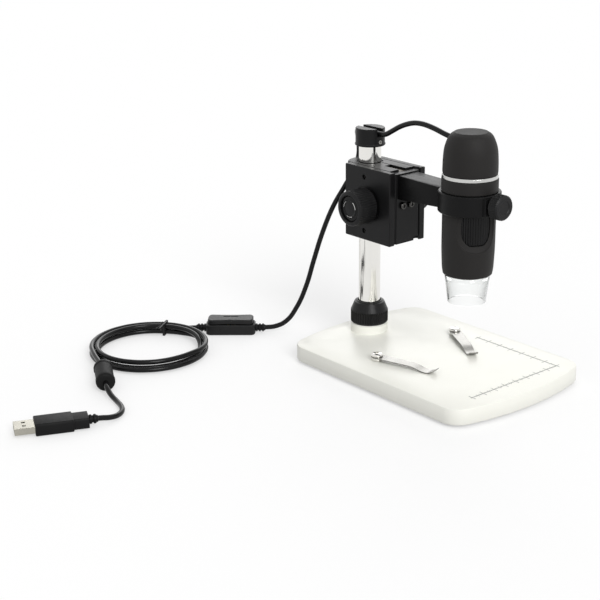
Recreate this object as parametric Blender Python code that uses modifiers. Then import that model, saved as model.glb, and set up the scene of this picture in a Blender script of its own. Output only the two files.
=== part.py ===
"""USB digital microscope on a rack-and-pinion focusing stand, with its cord.

Metres, +Z up. The origin lies on the table under the middle of the base plate, and +X runs
from the post to the microscope. Stand pieces are placed from the post's axis, microscope
pieces from the microscope's own axis.
"""

import math

import bmesh
import bpy
from mathutils import Matrix, Vector

# Fits shared by all pieces
TOUCH = 0.0003
OVERRUN = 0.002
MERGE = 0.00001
RUNNING_GAP = 0.0003
FINE_EDGE = 0.0004

# Base plate
BASE_LENGTH = 0.1728
BASE_WIDTH = 0.1200
BASE_TOP = 0.0128
BASE_BOW_RADIUS = 0.200
BASE_CORNER_RADIUS = 0.013
BASE_EDGE = 0.0009
BASE_WALL = 0.0024
BASE_ROOF = 0.0030
BASE_RIB = 0.0016
RIBS_ACROSS = 4
RIBS_ALONG = 1
FOOT_RADIUS = 0.0060
FOOT_TAPER = 0.0005
FOOT_STANDOFF = 0.0015
FOOT_RECESS = 0.0006
FOOT_INSET_X = 0.0184
FOOT_INSET_Y = 0.0160
FOOT_PAD_WALL = 0.0025

# Post, its socket, collar and cap
POST_REAR_INSET = 0.0225
POST_RADIUS = 0.0076
POST_WALL = 0.0015
POST_FOOT_PLUG = 0.0140
POST_CHAMFER = 0.0004
BOSS_RADIUS = 0.0130
BOSS_TOP = 0.0191
SPIGOT_RADIUS = 0.0102
SPIGOT_TOP = 0.0280
SOCKET_FLOOR = 0.0075
SOCKET_WEB = 0.0020
PILLAR_RADIUS = 0.0110
POST_SCREW_RADIUS = 0.0020
POST_SCREW_HEAD_RADIUS = 0.0045
POST_SCREW_HEAD_HEIGHT = 0.0028
POST_SCREW_LENGTH = 0.0130
COLLAR_RADIUS = 0.0131
COLLAR_BAND_TOP = 0.0262
COLLAR_SHOULDER_RADIUS = 0.0103
COLLAR_SHOULDER_TOP = 0.0345
COLLAR_RIM_RADIUS = 0.0090
COLLAR_TOP = 0.0354
COLLAR_FLUTES = 24
COLLAR_FLUTE_DEPTH = 0.0004
CAP_BOTTOM = 0.1460
CAP_TOP = 0.1580
CAP_RADIUS = 0.0100
CAP_LIP = 0.0004
CAP_LIP_HEIGHT = 0.0012
CAP_WEB = 0.0017
CABLE_SLOT_WIDTH = 0.0050
CABLE_SLOT_FLOOR = 0.1527
SET_SCREW_RADIUS = 0.0014
SET_SCREW_HEIGHT = 0.1490
SET_SCREW_LENGTH = 0.0022

# Focusing block: split body between two side plates
BLOCK_BOTTOM = 0.0846
BLOCK_TOP = 0.1345
BLOCK_HALF_WIDTH = 0.0163
PLATE_THICKNESS = 0.0050
PLATE_REAR = 0.0072
PLATE_FRONT = 0.0369
PLATE_EDGE = 0.0005
BODY_REAR_RADIUS = 0.0150
BODY_FRONT = 0.0310
SLEEVE_WALL = 0.0008
SLEEVE_FLANGE_WIDTH = 0.0014
SLEEVE_FLANGE_THICKNESS = 0.0009
CHANNEL_SIDE_GAP = 0.0010
CLAMP_SLIT_WIDTH = 0.0010
CLAMP_SCREW_X = 0.0118
CLAMP_SCREW_INSET_Z = 0.0064
CLAMP_SCREW_RADIUS = 0.0015
CLAMP_SCREW_SINK = 0.0012
HEX_SHARE = 0.55

# Rack, pinion and knobs
SHAFT_X = 0.0146
SHAFT_Z = 0.1095
SHAFT_RADIUS = 0.0020
GEAR_MODULE = 0.0005
PINION_TEETH = 14
ADDENDUM_SHARE = 0.8
DEDENDUM_SHARE = 1.15
TOOTH_SHARE = 0.44
PRESSURE_ANGLE = math.radians(20.0)
RACK_WIDTH = 0.0048
RACK_SEAT_DEPTH = 0.0008
KNOB_RADIUS = 0.0120
KNOB_STANDOFF = 0.0007
KNOB_LENGTH = 0.0155
KNOB_FLUTES = 18
KNOB_FLUTE_DEPTH = 0.0005
KNOB_EDGE = 0.0010
KNOB_FACE_RADIUS = 0.0090
KNOB_FACE_DEPTH = 0.0022
KNOB_SHAFT_END = 0.0030
KNOB_CAP_CROWN = 0.0010
PLATE_RECESS_DEPTH = 0.0006

# Carriage, arm and clamp ring
CARRIAGE_BOTTOM = 0.0852
CARRIAGE_TOP = 0.1332
CARRIAGE_HALF_WIDTH = 0.0100
DOVETAIL_DEPTH = 0.0023
CARRIAGE_SCREW_YS = (-0.0046, 0.0028)
CARRIAGE_SCREW_Z = 0.1113
CARRIAGE_SCREW_RADIUS = 0.0013
CARRIAGE_SCREW_HEAD_RADIUS = 0.0024
CARRIAGE_SCREW_HEAD_HEIGHT = 0.0015
CARRIAGE_NOTCH_HEIGHT = 0.0024
CARRIAGE_NOTCH_WIDTH = 0.0062
ARM_HALF_WIDTH = 0.0088
ARM_TOP = 0.1325
ARM_BOTTOM = 0.1160
ARM_TAPER_TOP = 0.0010
ARM_TAPER_BOTTOM = 0.0022
ARM_EDGE = 0.0005
ARM_SCREW_Y = 0.0058
ARM_SCREW_Z = 0.1240
ARM_SCREW_REACH = 0.0080
SCOPE_FROM_POST = 0.0928
RING_OUTER_RADIUS = 0.0201
RING_BOTTOM = 0.1185
RING_TOP = 0.1317
THUMB_BOSS_HALF_WIDTH = 0.0080
THUMB_BOSS_REACH = 0.0214
THUMB_Z = 0.1256
THUMB_RADIUS = 0.0081
THUMB_FACE_REACH = 0.0297
THUMB_STANDOFF = 0.0008
THUMB_SHANK_RADIUS = 0.0020
THUMB_BACKED_OFF = 0.0009
THUMB_FLUTES = 20
THUMB_FLUTE_DEPTH = 0.0004

# Microscope body
BARREL_RADIUS = 0.0171
BARREL_BORE_RADIUS = 0.0155
BARREL_LOWER_BORE = 0.0140
BARREL_LEDGE = 0.0986
BARREL_BOTTOM = 0.0770
BARREL_TAPER_POINTS = ((0.01705, 0.0980), (0.0169, 0.0930), (0.01655, 0.0885),
                       (0.0162, 0.0815), (0.0156, 0.0775))
BARREL_FOOT_CHAMFER = 0.0006
BAND_RADIUS = 0.0181
BAND_TOP = 0.1400
BARREL_SPIGOT_TOP = 0.1455
BARREL_SPIGOT_WALL = 0.0008
TRIM_RING_RADIUS = 0.0179
TRIM_RING_TOP = 0.1427
HEAD_RADIUS = 0.0176
HEAD_TOP = 0.1692
HEAD_WALL = 0.0010
HEAD_RADIUS_SHARES = (1.0, 0.9915, 0.957, 0.869, 0.756, 0.602)
HEAD_HEIGHT_SHARES = (0.0, 0.319, 0.583, 0.785, 0.925, 1.0)
GLAND_Z = 0.1630
GLAND_RADIUS = 0.0030
GLAND_TIP_RADIUS = 0.0023
GLAND_REACH = 0.0172
GLAND_INNER_REACH = 0.0120
WINDOW_HEADING = math.radians(-25.0)
WINDOW_HALF_WIDTH = 0.0085
WINDOW_CORNER_RADIUS = 0.0062
WINDOW_TOP = 0.1225
WHEEL_HEIGHT = 0.0226
WHEEL_WALL = 0.0026
WHEEL_FLUTES = 32
WHEEL_FLUTE_DEPTH = 0.0005
LENS_TUBE_BOTTOM = 0.0870
LENS_TUBE_TOP = 0.1190
LENS_TUBE_WALL = 0.0015
LENS_FRONT_WALL = 0.0016
LENS_RADIUS = 0.0056
LENS_THICKNESS = 0.0030
LENS_SEAT = 0.0006
SENSOR_BOARD_BOTTOM = 0.1240
BOARD_THICKNESS = 0.0014
LED_BOARD_BOTTOM = 0.0808
LED_BOARD_HOLE = 0.0068
LED_COUNT = 8
LED_RING_RADIUS = 0.0098
LED_RADIUS = 0.0015
LED_HEIGHT = 0.0016
NOZZLE_NECK_TOP = 0.0800
NOZZLE_WALL = 0.0012
NOZZLE_FLANGE_RADIUS = 0.0146
NOZZLE_KNEE_RADIUS = 0.01300
NOZZLE_KNEE_Z = 0.0600
NOZZLE_BOTTOM = 0.0575

# Stage clips
CLIP_STUD_FROM_POST = 0.0480
CLIP_STUD_Y = 0.0370
CLIP_WIDTH = 0.0080
CLIP_TIP_WIDTH = 0.0064
CLIP_THICKNESS = 0.0006
CLIP_SHANK_RADIUS = 0.0015
CLIP_HEAD_RADIUS = 0.0040
CLIP_HEAD_HEIGHT = 0.0020
CLIP_HOLE_RADIUS = 0.0009
CLIP_SPACER_RADIUS = 0.0036
CLIP_SPACER_HEIGHT = 0.0018
CLIP_STUD_DEPTH = 0.0080
STUD_DOME_ANGLE = math.radians(75.6)
CLIP_FLAT_LENGTH = 0.0270
CLIP_TOUCH_AT = 0.0385
CLIP_LENGTH = 0.0460
CLIP_TIP_RISE = 0.0032
NEAR_CLIP_HEADING = math.radians(14.8)
FAR_CLIP_HEADING = math.radians(-29.7)

# Cord, dimmer box, coil, ferrite bead and plug
CORD_RADIUS = 0.00175
CORD_STEP = 0.0060
ROUTE_SAMPLES = 24
BOX_CENTRE = (-0.0866, -0.0579)
BOX_HEADING = math.radians(48.65)
BOX_LENGTH = 0.0360
BOX_WIDTH = 0.0135
BOX_TRAY_TOP = 0.0080
BOX_TOP = 0.0120
BOX_WALL = 0.0012
BOX_CORNER = 0.0030
BOX_EDGE = 0.0007
COVER_LENGTH = 0.0330
COVER_WAIST = 0.0007
DIMMER_SLOT_LENGTH = 0.0110
DIMMER_SLOT_WIDTH = 0.0016
DIMMER_SLOT_Y = 0.0020
DIMMER_RADIUS = 0.0050
DIMMER_THICKNESS = 0.0009
DIMMER_FLUTES = 16
DIMMER_FLUTE_DEPTH = 0.0003
DIMMER_SHAFT_RADIUS = 0.0009
BOX_BOARD_LENGTH = 0.0300
BOX_BOARD_BOTTOM = 0.0026
POT_SIZE = (0.0070, 0.0030, 0.0060)
RELIEF_RADIUS = 0.0030
RELIEF_GROOVE_RADIUS = 0.0023
RELIEF_LENGTH = 0.0070
RELIEF_RINGS = 3
RELIEF_RING_SHARES = (0.15, 0.4, 0.5, 0.95)
RELIEF_HEIGHT = 0.0042
BOX_DIMPLE_RADIUS = 0.0009
BOX_DIMPLE_DEPTH = 0.0004
BOX_DIMPLE_X_SHARE = 0.22
COIL_CENTRE = (-0.0930, -0.1255)
COIL_INNER_RADIUS = 0.0343
COIL_SECTION = 0.0075
COIL_EDGE = 0.0017
TIE_THICKNESS = 0.0005
TIE_WIDTH = 0.0016
TIE_HEADING = math.radians(128.0)
TIE_TAIL_LENGTH = 0.0090
FERRITE_RADIUS = 0.0065
FERRITE_LENGTH = 0.0286
FERRITE_RIM = 0.0022
FERRITE_RIM_STEP = 0.0004
FERRITE_START = (-0.0767, -0.1736)
FERRITE_HEADING = math.radians(-28.1)
PLUG_START = (-0.0109, -0.2183)
PLUG_HEADING = math.radians(246.4)
PLUG_BODY_LENGTH = 0.0330
PLUG_FRONT_LENGTH = 0.0235
PLUG_WIDTH = 0.0155
PLUG_REAR_WIDTH = 0.0128
PLUG_HEIGHT = 0.0080
PLUG_REAR_HEIGHT = 0.0070
PLUG_EDGE = 0.0012
PLUG_RELIEF_LENGTH = 0.0060
SHELL_LENGTH = 0.0125
SHELL_WIDTH = 0.0120
SHELL_HEIGHT = 0.0045
SHELL_WALL = 0.0003
SHELL_WINDOW = 0.0022
SHELL_WINDOW_Y = 0.0026
SHELL_WINDOW_X = 0.0065
SHELL_ROOT = 0.0030
TONGUE_HEIGHT = 0.0018
CONTACT_YS = (-0.0035, -0.0010, 0.0010, 0.0035)
CONTACT_WIDTH = 0.0010
CONTACT_LENGTH = 0.0070
CONTACT_THICKNESS = 0.0002

# Facets
BARREL_STEPS = 32
ROUND_STEPS = 24
COIL_STEPS = 40
BEAD_STEPS = 18
SMALL_STEPS = 12
TINY_STEPS = 8
SHARP_ANGLE = math.radians(32.0)

# Worked out from the sizes above
POST_X = POST_REAR_INSET - BASE_LENGTH / 2
SLAB_BOTTOM = FOOT_STANDOFF + TOUCH
POST_BOTTOM = SOCKET_FLOOR + TOUCH
POST_TOP = CABLE_SLOT_FLOOR - CAP_WEB - TOUCH
POST_BORE = POST_RADIUS + RUNNING_GAP
SLEEVE_RADIUS = POST_BORE + SLEEVE_WALL
BLOCK_BORE = SLEEVE_RADIUS + RUNNING_GAP
BODY_HALF_WIDTH = BLOCK_HALF_WIDTH - PLATE_THICKNESS - TOUCH
PITCH_RADIUS = GEAR_MODULE * PINION_TEETH / 2
TIP_RADIUS = PITCH_RADIUS + ADDENDUM_SHARE * GEAR_MODULE
ROOT_RADIUS = PITCH_RADIUS - DEDENDUM_SHARE * GEAR_MODULE
RACK_PITCH_X = SHAFT_X + PITCH_RADIUS
RACK_TIP_X = RACK_PITCH_X - ADDENDUM_SHARE * GEAR_MODULE
CARRIAGE_BACK = BODY_FRONT + TOUCH
KNOB_NEAR_FACE = BLOCK_HALF_WIDTH + KNOB_STANDOFF
RING_INNER_RADIUS = BARREL_RADIUS + TOUCH
NOZZLE_NECK_RADIUS = BARREL_LOWER_BORE - TOUCH
WHEEL_RADIUS = BARREL_BORE_RADIUS - RUNNING_GAP
WINDOW_BOTTOM = BARREL_LEDGE
LENS_TUBE_RADIUS = WHEEL_RADIUS - WHEEL_WALL - RUNNING_GAP
CORD_REST_Z = CORD_RADIUS + TOUCH
COIL_BOTTOM = TIE_THICKNESS + TOUCH + TOUCH
COIL_OUTER_RADIUS = COIL_INNER_RADIUS + COIL_SECTION
FERRITE_Z = FERRITE_RADIUS + TOUCH
PLUG_Z = PLUG_HEIGHT / 2 + TOUCH

# Routes of the cord, chosen by hand, from the post's axis: X, Y, Z
ARCH_ROUTE = (
    (0.0123, 0.0, 0.15485), (0.0160, 0.0, 0.1556), (0.0211, 0.0, 0.1583),
    (0.0286, 0.0, 0.1624), (0.0361, 0.0, 0.1654), (0.0435, 0.0, 0.1672),
    (0.0518, 0.0, 0.1674), (0.0609, 0.0, 0.1661), (0.0690, 0.0, 0.1643),
    (0.0749, 0.0, 0.1632))
DROP_ROUTE = (
    (0.0114, 0.0, 0.15475), (0.0030, 0.0, 0.15475), (-0.0060, 0.0, 0.15475),
    (-0.0118, 0.0007, 0.1543), (-0.0165, 0.0032, 0.1523), (-0.0195, 0.0064, 0.1483),
    (-0.0208, 0.0085, 0.1420), (-0.0214, 0.0087, 0.1330), (-0.0232, 0.0058, 0.1230),
    (-0.0262, 0.0002, 0.1120), (-0.0307, -0.0065, 0.0980), (-0.0360, -0.0120, 0.0790),
    (-0.0412, -0.0160, 0.0580), (-0.0464, -0.0195, 0.0370), (-0.0525, -0.0235, 0.0205),
    (-0.0589, -0.0282, 0.0095), (-0.0648, -0.0333, 0.0052), (-0.0695, -0.0385, 0.0042))
COIL_LEAD_ROUTE = ((-0.10365, -0.0773, 0.0042), (-0.1068, -0.0810, 0.0039), (-0.1099, -0.0848, 0.0034))
BEAD_LEAD_ROUTE = ((-0.0889, -0.1693, 0.0063), (-0.0850, -0.1704, 0.0063), (-0.0810, -0.1716, 0.0065),
                   (-0.07716, -0.17335, 0.0068))
PLUG_LEAD_ROUTE = (
    (-0.0510, -0.1874, 0.0068), (-0.0455, -0.1899, 0.0060), (-0.0390, -0.1914, 0.0038),
    (-0.0310, -0.1922, 0.0022), (-0.0222, -0.1944, 0.0021), (-0.0155, -0.1978, 0.0021),
    (-0.0112, -0.2031, 0.0022), (-0.0093, -0.2095, 0.0030), (-0.01066, -0.21775, 0.0043))

# Finishes: colour, roughness, metallic
WHITE_PLASTIC = ("white_plastic", (0.86, 0.86, 0.83), 0.35, 0.0)
BLACK_METAL = ("black_anodised", (0.035, 0.035, 0.037), 0.42, 0.6)
BLACK_PLASTIC = ("black_plastic", (0.020, 0.020, 0.021), 0.45, 0.0)
SOFT_BLACK = ("soft_black", (0.028, 0.027, 0.027), 0.62, 0.0)
BLACK_RUBBER = ("black_rubber", (0.015, 0.015, 0.016), 0.55, 0.0)
CHROME = ("chrome", (0.82, 0.82, 0.80), 0.08, 1.0)
STEEL = ("steel", (0.62, 0.62, 0.60), 0.28, 1.0)
BRASS = ("brass", (0.72, 0.55, 0.26), 0.30, 1.0)
CLEAR = ("clear_acrylic", (0.92, 0.93, 0.94), 0.06, 0.0)
GLASS = ("lens_glass", (0.80, 0.85, 0.90), 0.03, 0.0)
BOARD_GREEN = ("circuit_board", (0.03, 0.16, 0.07), 0.40, 0.0)
SATIN_SILVER = ("satin_silver", (0.78, 0.78, 0.77), 0.22, 1.0)

NO_TURN = (0.0, 0.0, 0.0)
TOWARD_X = (0.0, math.pi / 2, 0.0)
TOWARD_NEAR = (math.pi / 2, 0.0, 0.0)
TOWARD_FAR = (-math.pi / 2, 0.0, 0.0)
HALF_STEP_TURN = (0.0, 0.0, math.pi / BARREL_STEPS)
ORIGIN = (0.0, 0.0, 0.0)


# Scene helpers

def clear_scene():
    """Remove every object that the file opens with."""
    for obj in list(bpy.data.objects):
        bpy.data.objects.remove(obj, do_unlink=True)


def new_group(name):
    """A collection linked to the scene."""
    group = bpy.data.collections.new(name)
    bpy.context.scene.collection.children.link(group)
    return group


def material(finish):
    """The Principled material of a finish, made once."""
    name, colour, roughness, metallic = finish
    found = bpy.data.materials.get(name)
    if found:
        return found
    made = bpy.data.materials.new(name)
    made.use_nodes = True
    made.diffuse_color = (*colour, 1.0)
    shader = made.node_tree.nodes["Principled BSDF"]
    shader.inputs["Base Color"].default_value = (*colour, 1.0)
    shader.inputs["Roughness"].default_value = roughness
    shader.inputs["Metallic"].default_value = metallic
    return made


def pivot(name, location, parent=None, turn=NO_TURN):
    """An empty on a joint's axis, which carries the pieces that move with it."""
    empty = bpy.data.objects.new(name, None)
    empty.empty_display_size = BOSS_RADIUS
    empty.location = location
    empty.rotation_euler = turn
    empty.parent = parent
    PARTS.objects.link(empty)
    return empty


def piece(name, data, finish, carrier, location=ORIGIN, turn=NO_TURN):
    """One sub-part with its material, carried by an empty."""
    obj = bpy.data.objects.new(name, data)
    obj.parent = carrier
    obj.location = location
    obj.rotation_euler = turn
    data.materials.append(material(finish))
    PARTS.objects.link(obj)
    return obj


def cutter(data, carrier, location=ORIGIN, turn=NO_TURN):
    """A guide solid for a Boolean."""
    obj = bpy.data.objects.new("cutter", data)
    obj.parent = carrier
    obj.location = location
    obj.rotation_euler = turn
    obj.display_type = "WIRE"
    obj.hide_render = True
    CUTTERS.objects.link(obj)
    return obj


def boolean(target, tool, operation):
    """Combine target with one tool solid."""
    step = target.modifiers.new(operation.lower(), "BOOLEAN")
    step.operation = operation
    step.solver = "EXACT"
    step.object = tool
    return target


def cut(target, *tools):
    """Take each tool's volume out of target."""
    for tool in tools:
        boolean(target, tool, "DIFFERENCE")
    return target


def join(target, *tools):
    """Add each tool's volume to target."""
    for tool in tools:
        boolean(target, tool, "UNION")
    return target


def round_edges(obj, width, segments=2):
    """Bevel the edges that are sharper than the shading angle."""
    bevel = obj.modifiers.new("edges", "BEVEL")
    bevel.width = width
    bevel.segments = segments
    bevel.limit_method = "ANGLE"
    bevel.angle_limit = SHARP_ANGLE
    return obj


# Shapes

def finish_mesh(build):
    """A smooth-shaded mesh out of a bmesh."""
    data = bpy.data.meshes.new("shape")
    bmesh.ops.recalc_face_normals(build, faces=build.faces)
    build.to_mesh(data)
    build.free()
    data.shade_smooth()
    data.set_sharp_from_angle(angle=SHARP_ANGLE)
    return data


def boxes(*spans):
    """One mesh of boxes, each given as its low and high corner."""
    build = bmesh.new()
    for low, high in spans:
        size = Vector(high) - Vector(low)
        middle = (Vector(high) + Vector(low)) / 2
        place = Matrix.Translation(middle) @ Matrix.Diagonal((*size, 1.0))
        bmesh.ops.create_cube(build, size=1.0, matrix=place)
    return finish_mesh(build)


def rods(radius, low, high, places=((0.0, 0.0),), steps=SMALL_STEPS, low_radius=None):
    """One mesh of round bars along Z, or tapered ones, at the places given."""
    build = bmesh.new()
    for x, y in places:
        place = Matrix.Translation((x, y, (low + high) / 2))
        bmesh.ops.create_cone(build, cap_ends=True, segments=steps, depth=high - low, matrix=place,
                              radius1=radius if low_radius is None else low_radius, radius2=radius)
    return finish_mesh(build)


def outline(points, low, high):
    """A flat outline extruded along Z from low to high, with one face at each end."""
    curve = bpy.data.curves.new("outline", "CURVE")
    curve.dimensions = "2D"
    curve.fill_mode = "BOTH"
    curve.extrude = (high - low) / 2
    spline = curve.splines.new("POLY")
    spline.points.add(len(points) - 1)
    for target, (x, y) in zip(spline.points, points):
        target.co = (x, y, 0.0, 1.0)
    spline.use_cyclic_u = True
    flat = bpy.data.objects.new("outline", curve)
    flat.location = (0.0, 0.0, (low + high) / 2)
    CUTTERS.objects.link(flat)
    graph = bpy.context.evaluated_depsgraph_get()
    data = bpy.data.meshes.new_from_object(flat.evaluated_get(graph))
    data.transform(flat.matrix_world)
    bpy.data.objects.remove(flat)
    build = bmesh.new()
    build.from_mesh(data)
    bmesh.ops.remove_doubles(build, verts=build.verts, dist=MERGE)
    for level in (low, high):
        end_faces = [f for f in build.faces if all(abs(v.co.z - level) < MERGE for v in f.verts)]
        bmesh.ops.dissolve_faces(build, faces=end_faces)
    return finish_mesh(build)


def arc(centre, radius, start, end, count):
    """Points on an arc, both ends included."""
    angles = [start + (end - start) * i / count for i in range(count + 1)]
    return [(centre[0] + radius * math.cos(a), centre[1] + radius * math.sin(a)) for a in angles]


def rounded_rectangle(length, width, corner, steps=3):
    """The outline of a rectangle with round corners, about its middle."""
    x, y = length / 2 - corner, width / 2 - corner
    corners = ((x, y), (-x, y), (-x, -y), (x, -y))
    points = []
    for i, centre in enumerate(corners):
        points += arc(centre, corner, i * math.pi / 2, (i + 1) * math.pi / 2, steps)
    return points


def turned(name, profile, finish, carrier, closed=False, steps=ROUND_STEPS, location=ORIGIN, turn=NO_TURN):
    """A turned piece: profile of (radius, height) spun round Z by a Screw modifier."""
    obj = piece(name, bpy.data.meshes.new(name), finish, carrier, location, turn)
    return spin(obj, profile, closed, steps)


def turned_cutter(profile, carrier, closed=False, steps=ROUND_STEPS, location=ORIGIN, turn=NO_TURN):
    """A turned guide solid."""
    return spin(cutter(bpy.data.meshes.new("turned"), carrier, location, turn), profile, closed, steps)


def spin(obj, profile, closed, steps):
    """Give obj its profile and the Screw modifier that spins it."""
    count = len(profile)
    edges = [(i, i + 1) for i in range(count - 1)]
    if closed:
        edges.append((count - 1, 0))
    obj.data.from_pydata([(radius, 0.0, height) for radius, height in profile], edges, [])
    screw = obj.modifiers.new("spin", "SCREW")
    screw.axis = "Z"
    screw.angle = 2 * math.pi
    screw.steps = steps
    screw.render_steps = steps
    screw.use_merge_vertices = True
    screw.merge_threshold = MERGE
    screw.use_smooth_shade = True
    return obj


FLUTE_SHARES = ((0.0, 0.0), (0.42, 0.0), (0.56, 1.0), (0.86, 1.0))


def flute_outline(radius, depth, count):
    """The outline of a fluted grip: flat ridges with grooves between them."""
    points = []
    for i in range(count):
        for turn_share, depth_share in FLUTE_SHARES:
            angle = 2 * math.pi * (i + turn_share) / count
            reach = radius - depth * depth_share
            points.append((reach * math.cos(angle), reach * math.sin(angle)))
    return points


def fluted(obj, radius, depth, count, low, high, carrier, location=ORIGIN, turn=NO_TURN):
    """Keep only what lies inside a fluted bar, so that a turned blank gets its grip."""
    bar = outline(flute_outline(radius, depth, count), low - OVERRUN, high + OVERRUN)
    return boolean(obj, cutter(bar, carrier, location, turn), "INTERSECT")


def smooth_route(route, step):
    """Even points on the smooth curve through a route's own points."""
    knots = [Vector(p) for p in route]
    ends = [2 * knots[0] - knots[1], *knots, 2 * knots[-1] - knots[-2]]
    dense = []
    for before, start, end, after in zip(ends, ends[1:], ends[2:], ends[3:]):
        for i in range(ROUTE_SAMPLES):
            t = i / ROUTE_SAMPLES
            dense.append(0.5 * (2 * start + (end - before) * t
                                + (2 * before - 5 * start + 4 * end - after) * t ** 2
                                + (3 * start - before - 3 * end + after) * t ** 3))
    dense.append(knots[-1])
    lengths = [0.0]
    for a, b in zip(dense, dense[1:]):
        lengths.append(lengths[-1] + (b - a).length)
    count = max(2, round(lengths[-1] / step))
    even, place = [], 0
    for i in range(count + 1):
        goal = lengths[-1] * i / count
        while place < len(lengths) - 2 and lengths[place + 1] < goal:
            place += 1
        share = (goal - lengths[place]) / (lengths[place + 1] - lengths[place])
        even.append(dense[place].lerp(dense[place + 1], min(1.0, share)))
    return even


def cord_tube(name, route, carrier):
    """A stretch of the cord as a round bevelled curve."""
    curve = bpy.data.curves.new(name, "CURVE")
    curve.dimensions = "3D"
    curve.bevel_depth = CORD_RADIUS
    curve.bevel_resolution = 2
    curve.use_fill_caps = True
    points = smooth_route(route, CORD_STEP)
    spline = curve.splines.new("POLY")
    spline.points.add(len(points) - 1)
    for target, point in zip(spline.points, points):
        target.co = (*point, 1.0)
    return piece(name, curve, BLACK_RUBBER, carrier)


def hex_recess(across, low, high, carrier, location, turn):
    """The guide solid of a hexagon socket."""
    return cutter(rods(across / 2, low, high, steps=6), carrier, location, turn)


# Base, post, collar and cap

def base_outline(inset):
    """The plate's outline: straight sides, bowed ends and round corners."""
    half_length = BASE_LENGTH / 2 - inset
    half_width = BASE_WIDTH / 2 - inset
    bow = BASE_BOW_RADIUS - inset
    corner = BASE_CORNER_RADIUS - inset
    bow_x = half_length - bow
    corner_y = half_width - corner
    corner_x = bow_x + math.sqrt((bow - corner) ** 2 - corner_y ** 2)
    swing = math.atan2(corner_y, corner_x - bow_x)
    near = arc((corner_x, -corner_y), corner, -math.pi / 2, -swing, 4)
    bowed = arc((bow_x, 0.0), bow, -swing, swing, 6)
    far = arc((corner_x, corner_y), corner, swing, math.pi / 2, 4)
    front = near + bowed[1:-1] + far
    return front + [(-x, -y) for x, y in front]


def foot_places():
    """Where the four feet stand."""
    x = BASE_LENGTH / 2 - FOOT_INSET_X
    y = BASE_WIDTH / 2 - FOOT_INSET_Y
    return ((x, y), (-x, y), (-x, -y), (x, -y))


def stud_places():
    """Where the two clip studs stand on the base."""
    x = POST_X + CLIP_STUD_FROM_POST
    return ((x, -CLIP_STUD_Y), (x, CLIP_STUD_Y))


def base_pockets():
    """The hollow under the plate, less its ribs and the pillars round screws and feet."""
    low, roof = SLAB_BOTTOM - OVERRUN, BASE_TOP - BASE_ROOF
    hollow = cutter(outline(base_outline(BASE_WALL), low, roof), None)
    inner_length = BASE_LENGTH - 2 * BASE_WALL
    inner_width = BASE_WIDTH - 2 * BASE_WALL
    ends = (low - OVERRUN, roof + OVERRUN)
    across = []
    for i in range(RIBS_ACROSS):
        x = inner_length * ((i + 1) / (RIBS_ACROSS + 1) - 0.5)
        across.append(((x - BASE_RIB / 2, -BASE_WIDTH, ends[0]), (x + BASE_RIB / 2, BASE_WIDTH, ends[1])))
    along = []
    for i in range(RIBS_ALONG):
        y = inner_width * ((i + 1) / (RIBS_ALONG + 1) - 0.5)
        along.append(((-BASE_LENGTH, y - BASE_RIB / 2, ends[0]), (BASE_LENGTH, y + BASE_RIB / 2, ends[1])))
    pads = rods(FOOT_RADIUS + FOOT_PAD_WALL, *ends, places=foot_places())
    posts = rods(PILLAR_RADIUS, *ends, places=((POST_X, 0.0),))
    studs = rods(CLIP_HEAD_RADIUS, *ends, places=stud_places())
    return cut(hollow, cutter(boxes(*across), None), cutter(boxes(*along), None),
               cutter(pads, None), cutter(posts, None), cutter(studs, None))


def make_base(stand):
    """The moulded plate with its boss and the spigot that the collar turns on."""
    base = piece("base_plate", outline(base_outline(0.0), SLAB_BOTTOM, BASE_TOP), WHITE_PLASTIC, None)
    round_edges(base, BASE_EDGE)
    boss = turned_cutter([(0.0, SPIGOT_TOP), (SPIGOT_RADIUS, SPIGOT_TOP), (SPIGOT_RADIUS, BOSS_TOP),
                          (BOSS_RADIUS - BASE_EDGE, BOSS_TOP), (BOSS_RADIUS, BOSS_TOP - BASE_EDGE),
                          (BOSS_RADIUS, BASE_TOP - BASE_EDGE), (0.0, BASE_TOP - BASE_EDGE)], stand)
    join(base, boss)
    cut(base, base_pockets())
    web_bottom = SOCKET_FLOOR - SOCKET_WEB
    socket, hole, sink = POST_RADIUS + TOUCH, POST_SCREW_RADIUS + TOUCH, POST_SCREW_HEAD_RADIUS + TOUCH
    high, low = SPIGOT_TOP + OVERRUN, SLAB_BOTTOM - OVERRUN
    cut(base, turned_cutter([(0.0, high), (socket, high), (socket, SOCKET_FLOOR), (hole, SOCKET_FLOOR),
                             (hole, web_bottom), (sink, web_bottom), (sink, low), (0.0, low)], stand,
                            turn=HALF_STEP_TURN))
    recesses = rods(FOOT_RADIUS + TOUCH, SLAB_BOTTOM - OVERRUN, SLAB_BOTTOM + FOOT_RECESS,
                    places=foot_places())
    bores = rods(CLIP_SHANK_RADIUS + TOUCH, BASE_TOP - CLIP_STUD_DEPTH - TOUCH, BASE_TOP + OVERRUN,
                 places=stud_places())
    cut(base, cutter(recesses, None), cutter(bores, None))


def make_feet():
    """The four rubber feet, each in its recess under the plate."""
    names = ("front_far_foot", "rear_far_foot", "rear_near_foot", "front_near_foot")
    for name, (x, y) in zip(names, foot_places()):
        foot = rods(FOOT_RADIUS, 0.0, SLAB_BOTTOM + FOOT_RECESS - TOUCH, low_radius=FOOT_RADIUS - FOOT_TAPER)
        piece(name, foot, BLACK_RUBBER, None, (x, y, 0.0))


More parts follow.
